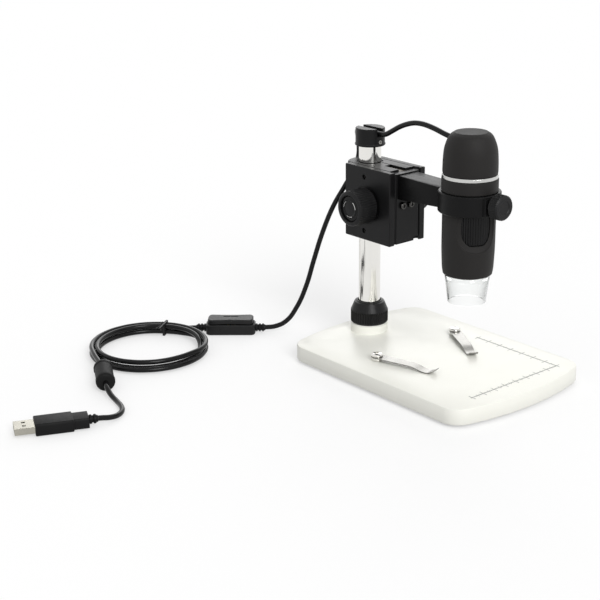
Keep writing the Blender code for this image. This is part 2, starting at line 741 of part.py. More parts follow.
def make_post(stand):
    """The chrome post: a tube with a tapped plug at its foot."""
    bore = POST_RADIUS - POST_WALL
    tapped = POST_SCREW_RADIUS + TOUCH
    floor = POST_BOTTOM + POST_FOOT_PLUG
    turned("post_tube", [(bore, POST_TOP), (POST_RADIUS - POST_CHAMFER, POST_TOP),
                         (POST_RADIUS, POST_TOP - POST_CHAMFER), (POST_RADIUS, POST_BOTTOM + POST_CHAMFER),
                         (POST_RADIUS - POST_CHAMFER, POST_BOTTOM), (tapped, POST_BOTTOM),
                         (tapped, floor), (bore, floor)], CHROME, stand, closed=True)
    head_top = SOCKET_FLOOR - SOCKET_WEB - TOUCH
    head_bottom = head_top - POST_SCREW_HEAD_HEIGHT
    screw = turned("post_screw", [(0.0, head_top + POST_SCREW_LENGTH),
                                  (POST_SCREW_RADIUS - FINE_EDGE, head_top + POST_SCREW_LENGTH),
                                  (POST_SCREW_RADIUS, head_top + POST_SCREW_LENGTH - FINE_EDGE),
                                  (POST_SCREW_RADIUS, head_top), (POST_SCREW_HEAD_RADIUS, head_top),
                                  (POST_SCREW_HEAD_RADIUS, head_bottom + FINE_EDGE),
                                  (POST_SCREW_HEAD_RADIUS - FINE_EDGE, head_bottom),
                                  (0.0, head_bottom)], STEEL, stand, steps=SMALL_STEPS)
    cut(screw, hex_recess(POST_SCREW_HEAD_RADIUS, head_bottom - OVERRUN,
                          head_bottom + POST_SCREW_HEAD_HEIGHT / 2, stand, ORIGIN, NO_TURN))


def make_collar(stand):
    """The knurled locking collar, bored to turn on the base's spigot."""
    turn = pivot("collar_turn", ORIGIN, stand)
    bottom = BOSS_TOP + TOUCH
    lower_bore = SPIGOT_RADIUS + RUNNING_GAP
    step = SPIGOT_TOP + RUNNING_GAP
    blank = COLLAR_RADIUS + FINE_EDGE
    collar = turned("locking_collar", [
        (POST_BORE, COLLAR_TOP), (COLLAR_RIM_RADIUS, COLLAR_TOP),
        (COLLAR_SHOULDER_RADIUS, COLLAR_SHOULDER_TOP), (COLLAR_RADIUS - FINE_EDGE, COLLAR_BAND_TOP + FINE_EDGE),
        (blank, COLLAR_BAND_TOP), (blank, bottom + FINE_EDGE), (COLLAR_RADIUS - FINE_EDGE, bottom),
        (lower_bore, bottom), (lower_bore, step), (POST_BORE, step)], BLACK_METAL, turn, closed=True)
    fluted(collar, COLLAR_RADIUS, COLLAR_FLUTE_DEPTH, COLLAR_FLUTES, bottom, COLLAR_TOP, turn)


def make_cap(stand):
    """The post's cap with the slot that holds the cord, and its set screw."""
    ceiling = CABLE_SLOT_FLOOR - CAP_WEB
    lip = CAP_RADIUS + CAP_LIP
    cap = turned("post_cap", [
        (0.0, CAP_TOP), (CAP_RADIUS - FINE_EDGE, CAP_TOP), (CAP_RADIUS, CAP_TOP - FINE_EDGE),
        (CAP_RADIUS, CAP_BOTTOM + CAP_LIP_HEIGHT + CAP_LIP), (lip, CAP_BOTTOM + CAP_LIP_HEIGHT),
        (lip, CAP_BOTTOM + FINE_EDGE), (lip - FINE_EDGE, CAP_BOTTOM),
        (POST_BORE, CAP_BOTTOM), (POST_BORE, ceiling), (0.0, ceiling)], BLACK_METAL, stand)
    slot = boxes(((-2 * lip, -CABLE_SLOT_WIDTH / 2, CABLE_SLOT_FLOOR),
                  (2 * lip, CABLE_SLOT_WIDTH / 2, CAP_TOP + OVERRUN)))
    side = rods(SET_SCREW_RADIUS + TOUCH, POST_RADIUS / 2, lip + OVERRUN, steps=TINY_STEPS)
    place = (0.0, 0.0, SET_SCREW_HEIGHT)
    cut(cap, cutter(slot, stand), cutter(side, stand, place, TOWARD_X))
    start = POST_RADIUS + TOUCH
    screw = piece("cap_set_screw", rods(SET_SCREW_RADIUS, start, start + SET_SCREW_LENGTH, steps=TINY_STEPS),
                  STEEL, stand, place, TOWARD_X)
    cut(screw, hex_recess(SET_SCREW_RADIUS, start + SET_SCREW_LENGTH / 2, start + SET_SCREW_LENGTH + OVERRUN,
                          stand, place, TOWARD_X))


# Stage clips

def ribbon(points, thickness):
    """The side outline of a bent strip: its lower line, then its upper line back."""
    lower, upper = [], []
    for i, point in enumerate(points):
        before = Vector(points[max(0, i - 1)])
        after = Vector(points[min(len(points) - 1, i + 1)])
        along = (after - before).normalized()
        normal = Vector((-along.y, along.x)) * thickness / 2
        lower.append(tuple(Vector(point) - normal))
        upper.append(tuple(Vector(point) + normal))
    return lower + upper[::-1]


def clip_line():
    """The strip's middle line from the stud: flat, down to the stage, then curled up."""
    flat_z = BASE_TOP + TOUCH + CLIP_SPACER_HEIGHT + TOUCH + CLIP_THICKNESS / 2
    touch_z = BASE_TOP + TOUCH + CLIP_THICKNESS / 2
    fall = flat_z - touch_z
    points = [(-CLIP_WIDTH, flat_z), (CLIP_FLAT_LENGTH, flat_z)]
    bend = CLIP_TOUCH_AT - CLIP_FLAT_LENGTH
    for i in range(1, 6):
        share = i / 5
        points.append((CLIP_FLAT_LENGTH + bend * share, flat_z - fall * (1 - math.cos(math.pi * share)) / 2))
    curl = CLIP_LENGTH - CLIP_TOUCH_AT
    for i in range(1, 6):
        share = i / 5
        points.append((CLIP_TOUCH_AT + curl * share, touch_z + CLIP_TIP_RISE * share ** 2))
    return points


def clip_plan():
    """The strip's plan outline: a round eye at the stud and a slightly narrower round tip."""
    half, tip = CLIP_WIDTH / 2, CLIP_TIP_WIDTH / 2
    eye = arc((0.0, 0.0), half, math.pi / 2, 3 * math.pi / 2, 10)
    corner = tip / 2
    end = CLIP_LENGTH
    nose = arc((end - corner, corner - tip), corner, -math.pi / 2, 0.0, 4)
    nose += arc((end - corner, tip - corner), corner, 0.0, math.pi / 2, 4)
    return eye + nose


def make_clip(name, stand, y, heading):
    """One spring strip on its stud."""
    place = (CLIP_STUD_FROM_POST, y, 0.0)
    turn = pivot(name + "_turn", place, stand, (0.0, 0.0, heading))
    strip = piece(name, outline(ribbon(clip_line(), CLIP_THICKNESS), -CLIP_WIDTH, CLIP_WIDTH),
                  STEEL, turn, ORIGIN, TOWARD_NEAR)
    plan = outline(clip_plan(), 0.0, CAP_BOTTOM)
    boolean(strip, cutter(plan, turn), "INTERSECT")
    cut(strip, cutter(rods(CLIP_SHANK_RADIUS + RUNNING_GAP, 0.0, CAP_BOTTOM), turn))


def make_clip_stud(name, stand, y):
    """A shouldered stud: the strip turns on its shank, between the shoulder and the domed head."""
    shoulder_bottom = BASE_TOP + TOUCH
    shoulder_top = shoulder_bottom + CLIP_SPACER_HEIGHT
    head_bottom = shoulder_top + TOUCH + CLIP_THICKNESS + TOUCH
    head_top = head_bottom + CLIP_HEAD_HEIGHT
    crown = CLIP_HEAD_HEIGHT / 2
    floor = head_top - crown
    dome = arc((0.0, 0.0), 1.0, STUD_DOME_ANGLE, 0.0, 3)
    profile = [(0.0, floor), (CLIP_HOLE_RADIUS, floor)]
    profile += [(CLIP_HEAD_RADIUS * across, head_top - crown + crown * up) for across, up in dome]
    profile += [(CLIP_HEAD_RADIUS, head_bottom), (CLIP_SHANK_RADIUS, head_bottom),
                (CLIP_SHANK_RADIUS, shoulder_top), (CLIP_SPACER_RADIUS, shoulder_top),
                (CLIP_SPACER_RADIUS, shoulder_bottom), (CLIP_SHANK_RADIUS, shoulder_bottom),
                (CLIP_SHANK_RADIUS, BASE_TOP - CLIP_STUD_DEPTH), (0.0, BASE_TOP - CLIP_STUD_DEPTH)]
    turned(name, profile, CHROME, stand, steps=SMALL_STEPS, location=(CLIP_STUD_FROM_POST, y, 0.0))


# Focusing block

def make_sleeve(stand):
    """The liner that slides on the post; the block swivels on it."""
    slide = pivot("sleeve_slide", ORIGIN, stand)
    flange = SLEEVE_RADIUS + SLEEVE_FLANGE_WIDTH
    flange_top = BLOCK_BOTTOM + SLEEVE_FLANGE_THICKNESS
    top = BLOCK_TOP - FINE_EDGE
    turned("post_sleeve", [(POST_BORE, top), (SLEEVE_RADIUS, top), (SLEEVE_RADIUS, flange_top),
                           (flange, flange_top), (flange, BLOCK_BOTTOM), (POST_BORE, BLOCK_BOTTOM)],
           BLACK_METAL, slide, closed=True)
    return slide


def make_block_body(swivel):
    """The split body: bored for the post, with the rack's channel and the pinion's pocket."""
    swing = math.asin(BODY_HALF_WIDTH / BODY_REAR_RADIUS)
    rear = arc((0.0, 0.0), BODY_REAR_RADIUS, math.pi - swing, math.pi + swing, 12)
    plan = rear + [(BODY_FRONT, -BODY_HALF_WIDTH), (BODY_FRONT, BODY_HALF_WIDTH)]
    body = piece("block_body", outline(plan, BLOCK_BOTTOM, BLOCK_TOP), BLACK_METAL, swivel)
    low, high = BLOCK_BOTTOM - OVERRUN, BLOCK_TOP + OVERRUN
    half_rack = RACK_WIDTH / 2
    channel_far = half_rack + CHANNEL_SIDE_GAP
    channel = boxes(((RACK_TIP_X - GEAR_MODULE, -half_rack - RUNNING_GAP, low),
                     (BODY_FRONT + OVERRUN, channel_far, high)))
    slit = boxes(((0.0, channel_far - CLAMP_SLIT_WIDTH, low), (RACK_PITCH_X, channel_far - MERGE, high)))
    bore = rods(BLOCK_BORE, low, high, steps=ROUND_STEPS)
    counterbore = rods(SLEEVE_RADIUS + SLEEVE_FLANGE_WIDTH + RUNNING_GAP, low,
                       BLOCK_BOTTOM + SLEEVE_FLANGE_THICKNESS + RUNNING_GAP, steps=ROUND_STEPS)
    pocket = rods(TIP_RADIUS + GEAR_MODULE, -half_rack - RUNNING_GAP, half_rack + RUNNING_GAP, steps=ROUND_STEPS)
    shaft = rods(SHAFT_RADIUS + RUNNING_GAP, -BLOCK_HALF_WIDTH, BLOCK_HALF_WIDTH)
    axis = (SHAFT_X, 0.0, SHAFT_Z)
    cut(body, cutter(bore, swivel), cutter(counterbore, swivel), cutter(channel, swivel), cutter(slit, swivel),
        cutter(pocket, swivel, axis, TOWARD_NEAR), cutter(shaft, swivel, axis, TOWARD_NEAR))
    for z in clamp_screw_heights():
        hole = rods(CLAMP_SCREW_RADIUS + TOUCH, -BLOCK_HALF_WIDTH, BLOCK_HALF_WIDTH, steps=SMALL_STEPS)
        cut(body, cutter(hole, swivel, (CLAMP_SCREW_X, 0.0, z), TOWARD_NEAR))


def clamp_screw_heights():
    """Heights of the screws through both side plates, the upper one first."""
    return (BLOCK_TOP - CLAMP_SCREW_INSET_Z, BLOCK_BOTTOM + CLAMP_SCREW_INSET_Z)


def dovetail_middle():
    """Where along X the carriage's dovetail has its ridge."""
    return (CARRIAGE_BACK + PLATE_FRONT) / 2


def make_side_plate(name, side, swivel):
    """One side plate, grooved inside for the carriage's dovetail; side is -1 near, 1 far."""
    inner = BLOCK_HALF_WIDTH - PLATE_THICKNESS
    ridge = CARRIAGE_HALF_WIDTH + DOVETAIL_DEPTH + RUNNING_GAP * math.sqrt(2)
    reach = ridge - inner
    middle = dovetail_middle()
    plan = [(-PLATE_REAR, side * inner), (middle - reach, side * inner), (middle, side * ridge),
            (middle + reach, side * inner), (PLATE_FRONT, side * inner),
            (PLATE_FRONT, side * BLOCK_HALF_WIDTH), (-PLATE_REAR, side * BLOCK_HALF_WIDTH)]
    plate = piece(name, outline(plan, BLOCK_BOTTOM, BLOCK_TOP), BLACK_METAL, swivel)
    round_edges(plate, PLATE_EDGE, 1)
    toward = TOWARD_NEAR if side < 0 else TOWARD_FAR
    axis = (SHAFT_X, 0.0, SHAFT_Z)
    outside = BLOCK_HALF_WIDTH + OVERRUN
    bearing = rods(SHAFT_RADIUS + RUNNING_GAP, 0.0, outside)
    recess = rods(KNOB_RADIUS + KNOB_EDGE, BLOCK_HALF_WIDTH - PLATE_RECESS_DEPTH, outside, steps=ROUND_STEPS)
    cut(plate, cutter(bearing, swivel, axis, toward), cutter(recess, swivel, axis, toward))
    for z in clamp_screw_heights():
        hole = rods(CLAMP_SCREW_RADIUS + TOUCH, 0.0, outside)
        cut(plate, cutter(hole, swivel, (CLAMP_SCREW_X, 0.0, z), toward))


def make_clamp_screw(name, z, swivel):
    """A long socket screw through both plates: it closes the split body on the sleeve."""
    end = BLOCK_HALF_WIDTH - CLAMP_SCREW_SINK
    place = (CLAMP_SCREW_X, 0.0, z)
    screw = piece(name, rods(CLAMP_SCREW_RADIUS, -end, end, steps=TINY_STEPS), STEEL, swivel, place, TOWARD_NEAR)
    for low, high in ((end - CLAMP_SCREW_RADIUS, end + OVERRUN), (-end - OVERRUN, CLAMP_SCREW_RADIUS - end)):
        cut(screw, cutter(rods(CLAMP_SCREW_RADIUS * HEX_SHARE, low, high, steps=6), swivel, place, TOWARD_NEAR))


# Rack, pinion and knobs

def involute_half_angle(radius):
    """Half the tooth's angular width at a radius, on an involute flank."""
    base = PITCH_RADIUS * math.cos(PRESSURE_ANGLE)
    local = math.acos(min(1.0, base / radius))
    at_pitch = math.pi * TOOTH_SHARE / PINION_TEETH
    return at_pitch + math.tan(PRESSURE_ANGLE) - PRESSURE_ANGLE - math.tan(local) + local


def pinion_outline():
    """Involute teeth, the first one centred on the rack's side."""
    flank_radii = (ROOT_RADIUS, PITCH_RADIUS * math.cos(PRESSURE_ANGLE), PITCH_RADIUS, TIP_RADIUS)
    points = []
    for tooth in range(PINION_TEETH):
        middle = 2 * math.pi * tooth / PINION_TEETH
        for sign, radii in ((-1, flank_radii), (1, flank_radii[::-1])):
            for radius in radii:
                angle = middle + sign * involute_half_angle(radius)
                points.append((radius * math.cos(angle), radius * math.sin(angle)))
    return points


def rack_outline():
    """The rack's side view as (x, -z), teeth towards the pinion, a gap facing the shaft."""
    pitch = math.pi * GEAR_MODULE
    root_x = RACK_PITCH_X + DEDENDUM_SHARE * GEAR_MODULE
    back_x = CARRIAGE_BACK + RACK_SEAT_DEPTH - TOUCH
    half = pitch * TOOTH_SHARE / 2
    tip_half = half - ADDENDUM_SHARE * GEAR_MODULE * math.tan(PRESSURE_ANGLE)
    root_half = half + DEDENDUM_SHARE * GEAR_MODULE * math.tan(PRESSURE_ANGLE)
    first = math.ceil((CARRIAGE_BOTTOM + root_half - SHAFT_Z) / pitch - 0.5)
    last = math.floor((CARRIAGE_TOP - root_half - SHAFT_Z) / pitch - 0.5)
    points = [(back_x, CARRIAGE_TOP), (back_x, CARRIAGE_BOTTOM), (root_x, CARRIAGE_BOTTOM)]
    for tooth in range(first, last + 1):
        z = SHAFT_Z + (tooth + 0.5) * pitch
        points += [(root_x, z - root_half), (RACK_TIP_X, z - tip_half), (RACK_TIP_X, z + tip_half),
                   (root_x, z + root_half)]
    points.append((root_x, CARRIAGE_TOP))
    return points


def make_pinion(knob_turn):
    """The shaft across the block with the pinion at its middle."""
    end = KNOB_NEAR_FACE + KNOB_LENGTH - KNOB_FACE_DEPTH - KNOB_SHAFT_END
    shaft = piece("pinion_shaft", rods(SHAFT_RADIUS, -end, end), STEEL, knob_turn, ORIGIN, TOWARD_NEAR)
    half = RACK_WIDTH / 2
    join(shaft, cutter(outline(pinion_outline(), -half, half), knob_turn, ORIGIN, TOWARD_NEAR))


def make_knob(name, toward, knob_turn):
    """A fluted focus knob with a sunk face, and the cap in that face."""
    low, high = KNOB_NEAR_FACE, KNOB_NEAR_FACE + KNOB_LENGTH
    floor = high - KNOB_FACE_DEPTH
    bore = SHAFT_RADIUS + TOUCH
    bore_end = floor - KNOB_SHAFT_END + TOUCH
    blank = KNOB_RADIUS + FINE_EDGE
    knob = turned(name, [
        (0.0, floor), (KNOB_FACE_RADIUS, floor), (KNOB_FACE_RADIUS + FINE_EDGE, high),
        (KNOB_RADIUS - KNOB_EDGE, high), (blank, high - KNOB_EDGE), (blank, low + KNOB_EDGE),
        (KNOB_RADIUS - KNOB_EDGE, low), (bore, low), (bore, bore_end), (0.0, bore_end)],
        BLACK_METAL, knob_turn, turn=toward)
    fluted(knob, KNOB_RADIUS, KNOB_FLUTE_DEPTH, KNOB_FLUTES, low, high, knob_turn, ORIGIN, toward)
    rim = KNOB_FACE_RADIUS - TOUCH
    bottom = floor + TOUCH
    shoulder = high - KNOB_CAP_CROWN
    dome = arc((0.0, 0.0), 1.0, math.pi / 2, 0.0, 3)
    profile = [(rim * across, shoulder + KNOB_CAP_CROWN * (up - TOUCH / KNOB_CAP_CROWN)) for across, up in dome]
    turned(name + "_cap", profile + [(rim, bottom), (0.0, bottom)], BLACK_PLASTIC, knob_turn, turn=toward)


# Carriage, arm and thumb screw

def make_carriage(slide):
    """The dovetailed carriage that carries the rack and the arm."""
    middle = dovetail_middle()
    half, ridge = CARRIAGE_HALF_WIDTH, CARRIAGE_HALF_WIDTH + DOVETAIL_DEPTH
    right = [(CARRIAGE_BACK, -half), (middle - DOVETAIL_DEPTH, -half), (middle, -ridge),
             (middle + DOVETAIL_DEPTH, -half), (PLATE_FRONT, -half)]
    left = [(x, -y) for x, y in reversed(right)]
    carriage = piece("slide_carriage", outline(right + left, CARRIAGE_BOTTOM, CARRIAGE_TOP), BLACK_METAL, slide)
    low, high = CARRIAGE_BOTTOM - OVERRUN, CARRIAGE_TOP + OVERRUN
    seat = RACK_WIDTH / 2 + TOUCH
    groove = boxes(((CARRIAGE_BACK - OVERRUN, -seat, low), (CARRIAGE_BACK + RACK_SEAT_DEPTH, seat, high)))
    notch = boxes(((middle, ridge - CARRIAGE_NOTCH_WIDTH, low),
                   (PLATE_FRONT + OVERRUN, ridge + OVERRUN, CARRIAGE_BOTTOM + CARRIAGE_NOTCH_HEIGHT)))
    places = [(-CARRIAGE_SCREW_Z, y) for y in CARRIAGE_SCREW_YS]
    holes = rods(CARRIAGE_SCREW_RADIUS + TOUCH, middle - TOUCH, PLATE_FRONT + OVERRUN, places, TINY_STEPS)
    cut(carriage, cutter(groove, slide), cutter(notch, slide), cutter(holes, slide, ORIGIN, TOWARD_X))
    sink, hole = CARRIAGE_SCREW_HEAD_RADIUS + TOUCH, CARRIAGE_SCREW_RADIUS + TOUCH
    front, back = PLATE_FRONT + OVERRUN, CARRIAGE_BACK - OVERRUN
    for y in (-ARM_SCREW_Y, ARM_SCREW_Y):
        cut(carriage, turned_cutter([(0.0, front), (hole, front), (hole, middle), (sink, middle), (sink, back),
                                     (0.0, back)], slide, steps=SMALL_STEPS, location=(0.0, y, ARM_SCREW_Z),
                                    turn=TOWARD_X))
    rack = outline([(x, z) for x, z in rack_outline()], -RACK_WIDTH / 2, RACK_WIDTH / 2)
    piece("focus_rack", rack, BRASS, slide, ORIGIN, TOWARD_NEAR)
    for name, y in zip(("near_carriage_screw", "far_carriage_screw"), CARRIAGE_SCREW_YS):
        make_carriage_screw(name, slide, y)
    for name, y in (("near_arm_screw", -ARM_SCREW_Y), ("far_arm_screw", ARM_SCREW_Y)):
        make_arm_screw(name, slide, y)


def make_carriage_screw(name, slide, y):
    """A socket screw on the carriage's face."""
    place = (0.0, y, CARRIAGE_SCREW_Z)
    seat = PLATE_FRONT + TOUCH
    top = seat + CARRIAGE_SCREW_HEAD_HEIGHT
    socket = CARRIAGE_SCREW_RADIUS
    screw = turned(name, [
        (0.0, top), (CARRIAGE_SCREW_HEAD_RADIUS - FINE_EDGE, top), (CARRIAGE_SCREW_HEAD_RADIUS, top - FINE_EDGE),
        (CARRIAGE_SCREW_HEAD_RADIUS, seat), (socket, seat), (socket, dovetail_middle()),
        (0.0, dovetail_middle())], STEEL, slide, steps=SMALL_STEPS, location=place, turn=TOWARD_X)
    cut(screw, hex_recess(2 * socket, top - CARRIAGE_SCREW_HEAD_HEIGHT / 2, top + OVERRUN, slide, place, TOWARD_X))


def make_arm_screw(name, slide, y):
    """A screw that holds the arm, put in from the carriage's back."""
    back = CARRIAGE_BACK + TOUCH
    under_head = dovetail_middle() - TOUCH
    end = PLATE_FRONT + ARM_SCREW_REACH
    head, shank = CARRIAGE_SCREW_HEAD_RADIUS, CARRIAGE_SCREW_RADIUS
    turned(name, [(0.0, end), (shank, end), (shank, under_head), (head, under_head), (head, back), (0.0, back)],
           STEEL, slide, steps=TINY_STEPS, location=(0.0, y, ARM_SCREW_Z), turn=TOWARD_X)


def make_arm(slide):
    """The arm, its clamp ring and the boss that the thumb screw runs in."""
    start = PLATE_FRONT + TOUCH
    end = SCOPE_FROM_POST - (RING_INNER_RADIUS + RING_OUTER_RADIUS) / 2
    side_view = [(start, ARM_BOTTOM), (end, ARM_BOTTOM + ARM_TAPER_BOTTOM),
                 (end, ARM_TOP - ARM_TAPER_TOP), (start, ARM_TOP)]
    arm = piece("scope_arm", outline(side_view, -ARM_HALF_WIDTH, ARM_HALF_WIDTH), BLACK_PLASTIC, slide,
                ORIGIN, TOWARD_NEAR)
    round_edges(arm, ARM_EDGE, 2)
    scope = (SCOPE_FROM_POST, 0.0, 0.0)
    ring = turned_cutter([
        (RING_INNER_RADIUS - FINE_EDGE, RING_TOP), (RING_OUTER_RADIUS - ARM_EDGE, RING_TOP),
        (RING_OUTER_RADIUS, RING_TOP - ARM_EDGE), (RING_OUTER_RADIUS, RING_BOTTOM + ARM_EDGE),
        (RING_OUTER_RADIUS - ARM_EDGE, RING_BOTTOM), (RING_INNER_RADIUS - FINE_EDGE, RING_BOTTOM)],
        slide, closed=True, steps=BARREL_STEPS, location=scope)
    boss = boxes(((RING_INNER_RADIUS, -THUMB_BOSS_HALF_WIDTH, RING_BOTTOM + 2 * ARM_EDGE),
                  (THUMB_BOSS_REACH, THUMB_BOSS_HALF_WIDTH, RING_TOP - 2 * ARM_EDGE)))
    join(arm, ring, cutter(boss, slide, scope))
    bore = rods(RING_INNER_RADIUS, ARM_BOTTOM - OVERRUN, ARM_TOP + OVERRUN, steps=BARREL_STEPS)
    thread = rods(THUMB_SHANK_RADIUS + RUNNING_GAP, 0.0, THUMB_BOSS_REACH + OVERRUN)
    places = [(-ARM_SCREW_Z, y) for y in (-ARM_SCREW_Y, ARM_SCREW_Y)]
    holes = rods(CARRIAGE_SCREW_RADIUS + TOUCH, 0.0, PLATE_FRONT + ARM_SCREW_REACH + TOUCH, places, TINY_STEPS)
    cut(arm, cutter(bore, slide, scope, HALF_STEP_TURN), cutter(thread, slide, (SCOPE_FROM_POST, 0.0, THUMB_Z), TOWARD_X),
        cutter(holes, slide, ORIGIN, TOWARD_X))


def make_thumb_screw(slide):
    """The fluted screw that holds the microscope in the ring, here backed off by a turn."""
    turn = pivot("thumb_turn", (SCOPE_FROM_POST, 0.0, THUMB_Z), slide)
    tip = RING_INNER_RADIUS + THUMB_BACKED_OFF
    back = THUMB_BOSS_REACH + THUMB_STANDOFF
    face = THUMB_FACE_REACH
    blank = THUMB_RADIUS + FINE_EDGE
    screw = turned("thumb_screw", [
        (0.0, face - FINE_EDGE), (THUMB_RADIUS / 2, face - FINE_EDGE), (THUMB_RADIUS / 2 + FINE_EDGE, face),
        (THUMB_RADIUS - KNOB_EDGE, face), (blank, face - KNOB_EDGE), (blank, back + KNOB_EDGE),
        (THUMB_RADIUS - KNOB_EDGE, back), (THUMB_SHANK_RADIUS, back),
        (THUMB_SHANK_RADIUS, tip + FINE_EDGE), (THUMB_SHANK_RADIUS - FINE_EDGE, tip), (0.0, tip)],
        BLACK_METAL, turn, turn=TOWARD_X)
    fluted(screw, THUMB_RADIUS, THUMB_FLUTE_DEPTH, THUMB_FLUTES, tip, face, turn, ORIGIN, TOWARD_X)


# Microscope

def barrel_profile():
    """The barrel's section: spigot, black band, plain waist for the ring, tapered foot."""
    spigot = BARREL_BORE_RADIUS + BARREL_SPIGOT_WALL
    band_bottom = RING_TOP + TOUCH
    foot = BARREL_TAPER_POINTS[-1][0] - BARREL_FOOT_CHAMFER
    outer = [(BARREL_BORE_RADIUS, BARREL_SPIGOT_TOP), (spigot, BARREL_SPIGOT_TOP), (spigot, BAND_TOP),
             (BAND_RADIUS - FINE_EDGE, BAND_TOP), (BAND_RADIUS, BAND_TOP - FINE_EDGE),
             (BAND_RADIUS, band_bottom + FINE_EDGE), (BAND_RADIUS - FINE_EDGE, band_bottom),
             (BARREL_RADIUS, band_bottom)]
    return outer + list(BARREL_TAPER_POINTS) + [
        (foot, BARREL_BOTTOM), (BARREL_LOWER_BORE, BARREL_BOTTOM),
        (BARREL_LOWER_BORE, BARREL_LEDGE), (BARREL_BORE_RADIUS, BARREL_LEDGE)]


def window_outline():
    """The scalloped window's outline as (height, -width): round at its lower corners."""
    corner, half = WINDOW_CORNER_RADIUS, WINDOW_HALF_WIDTH
    low = WINDOW_BOTTOM + corner
    points = arc((low, half - corner), corner, math.pi / 2, math.pi, 6)
    points += arc((low, corner - half), corner, math.pi, 3 * math.pi / 2, 6)
    return points + [(WINDOW_TOP, -half), (WINDOW_TOP, half)]


def make_barrel(scope):
    """The barrel with the window over the focus wheel."""
    barrel = turned("scope_barrel", barrel_profile(), BLACK_PLASTIC, scope, closed=True, steps=BARREL_STEPS)
    window = outline([(-height, width) for height, width in window_outline()], BARREL_LOWER_BORE / 2,
                     BARREL_RADIUS + OVERRUN)
    cut(barrel, cutter(window, scope, ORIGIN, (0.0, math.pi / 2, WINDOW_HEADING)))


def head_profile():
    """The domed head's section: outer dome down, bore back up."""
    bottom = TRIM_RING_TOP + TOUCH
    height = HEAD_TOP - bottom
    outer = [(0.0, HEAD_TOP)]
    inner = []
    for radius_share, height_share in reversed(list(zip(HEAD_RADIUS_SHARES, HEAD_HEIGHT_SHARES))):
        outer.append((HEAD_RADIUS * radius_share, bottom + height * height_share))
    for radius_share, height_share in zip(HEAD_RADIUS_SHARES, HEAD_HEIGHT_SHARES):
        radius = HEAD_RADIUS * radius_share - HEAD_WALL
        inner.append((radius, max(bottom, bottom + height * height_share - HEAD_WALL)))
    return outer + inner + [(0.0, HEAD_TOP - HEAD_WALL)]


def make_head(scope):
    """The domed head, the silver ring under it and the cord's gland."""
    head = turned("scope_head", head_profile(), SOFT_BLACK, scope, steps=BARREL_STEPS)
    place = (0.0, 0.0, GLAND_Z)
    toward_post = (0.0, -math.pi / 2, 0.0)
    cut(head, cutter(rods(GLAND_RADIUS + TOUCH, GLAND_INNER_REACH - OVERRUN, GLAND_REACH + OVERRUN), scope,
                     place, toward_post))
    inner = BARREL_BORE_RADIUS + BARREL_SPIGOT_WALL + TOUCH
    low = BAND_TOP + TOUCH
    turned("trim_ring", [(inner, TRIM_RING_TOP), (TRIM_RING_RADIUS - FINE_EDGE, TRIM_RING_TOP),
                         (TRIM_RING_RADIUS, TRIM_RING_TOP - FINE_EDGE), (TRIM_RING_RADIUS, low + FINE_EDGE),
                         (TRIM_RING_RADIUS - FINE_EDGE, low), (inner, low)],
           SATIN_SILVER, scope, closed=True, steps=BARREL_STEPS)
    gland_flat = GLAND_REACH - GLAND_RADIUS / 2
    turned("cable_gland", [(0.0, GLAND_REACH), (GLAND_TIP_RADIUS - FINE_EDGE, GLAND_REACH),
                           (GLAND_TIP_RADIUS, GLAND_REACH - FINE_EDGE), (GLAND_RADIUS, gland_flat),
                           (GLAND_RADIUS, GLAND_INNER_REACH), (0.0, GLAND_INNER_REACH)],
           BLACK_RUBBER, scope, steps=SMALL_STEPS, location=place, turn=toward_post)


def make_optics(scope):
    """Sensor board, focus wheel, moving lens tube and lens."""
    board = BARREL_BORE_RADIUS - TOUCH
    chip = board / 4
    boards = piece("sensor_board", rods(board, SENSOR_BOARD_BOTTOM, SENSOR_BOARD_BOTTOM + BOARD_THICKNESS,
                                        steps=ROUND_STEPS), BOARD_GREEN, scope)
    join(boards, cutter(boxes(((-chip, -chip, SENSOR_BOARD_BOTTOM - BOARD_THICKNESS / 2),
                               (chip, chip, SENSOR_BOARD_BOTTOM + BOARD_THICKNESS / 2))), scope))
    wheel_turn = pivot("wheel_turn", ORIGIN, scope)
    low = BARREL_LEDGE + RUNNING_GAP
    high = low + WHEEL_HEIGHT
    bore = WHEEL_RADIUS - WHEEL_WALL
    blank = WHEEL_RADIUS + FINE_EDGE
    wheel = turned("focus_wheel", [
        (bore, high), (blank, high), (blank, low), (bore, low)], BLACK_PLASTIC, wheel_turn, closed=True, steps=BARREL_STEPS)
    fluted(wheel, WHEEL_RADIUS, WHEEL_FLUTE_DEPTH, WHEEL_FLUTES, low, high, wheel_turn)
    lens_slide = pivot("lens_slide", ORIGIN, scope)
    inner = LENS_TUBE_RADIUS - LENS_TUBE_WALL
    opening = LENS_RADIUS - LENS_SEAT
    seat = LENS_TUBE_BOTTOM + LENS_FRONT_WALL
    turned("lens_tube", [
        (inner, LENS_TUBE_TOP), (LENS_TUBE_RADIUS, LENS_TUBE_TOP), (LENS_TUBE_RADIUS, LENS_TUBE_BOTTOM),
        (opening, LENS_TUBE_BOTTOM), (opening, seat), (LENS_RADIUS + TOUCH, seat),
        (LENS_RADIUS + TOUCH, seat + LENS_THICKNESS), (inner, seat + LENS_THICKNESS)],
        BLACK_PLASTIC, lens_slide, closed=True)
    bottom = seat + TOUCH
    bulge = LENS_THICKNESS / 4
    top_face = [(LENS_RADIUS * x, bottom + LENS_THICKNESS - bulge + bulge * z)
                for x, z in arc((0.0, 0.0), 1.0, math.pi / 2, 0.0, 3)]
    turned("lens", top_face + [(LENS_RADIUS, bottom), (0.0, bottom)], GLASS, lens_slide, steps=SMALL_STEPS)


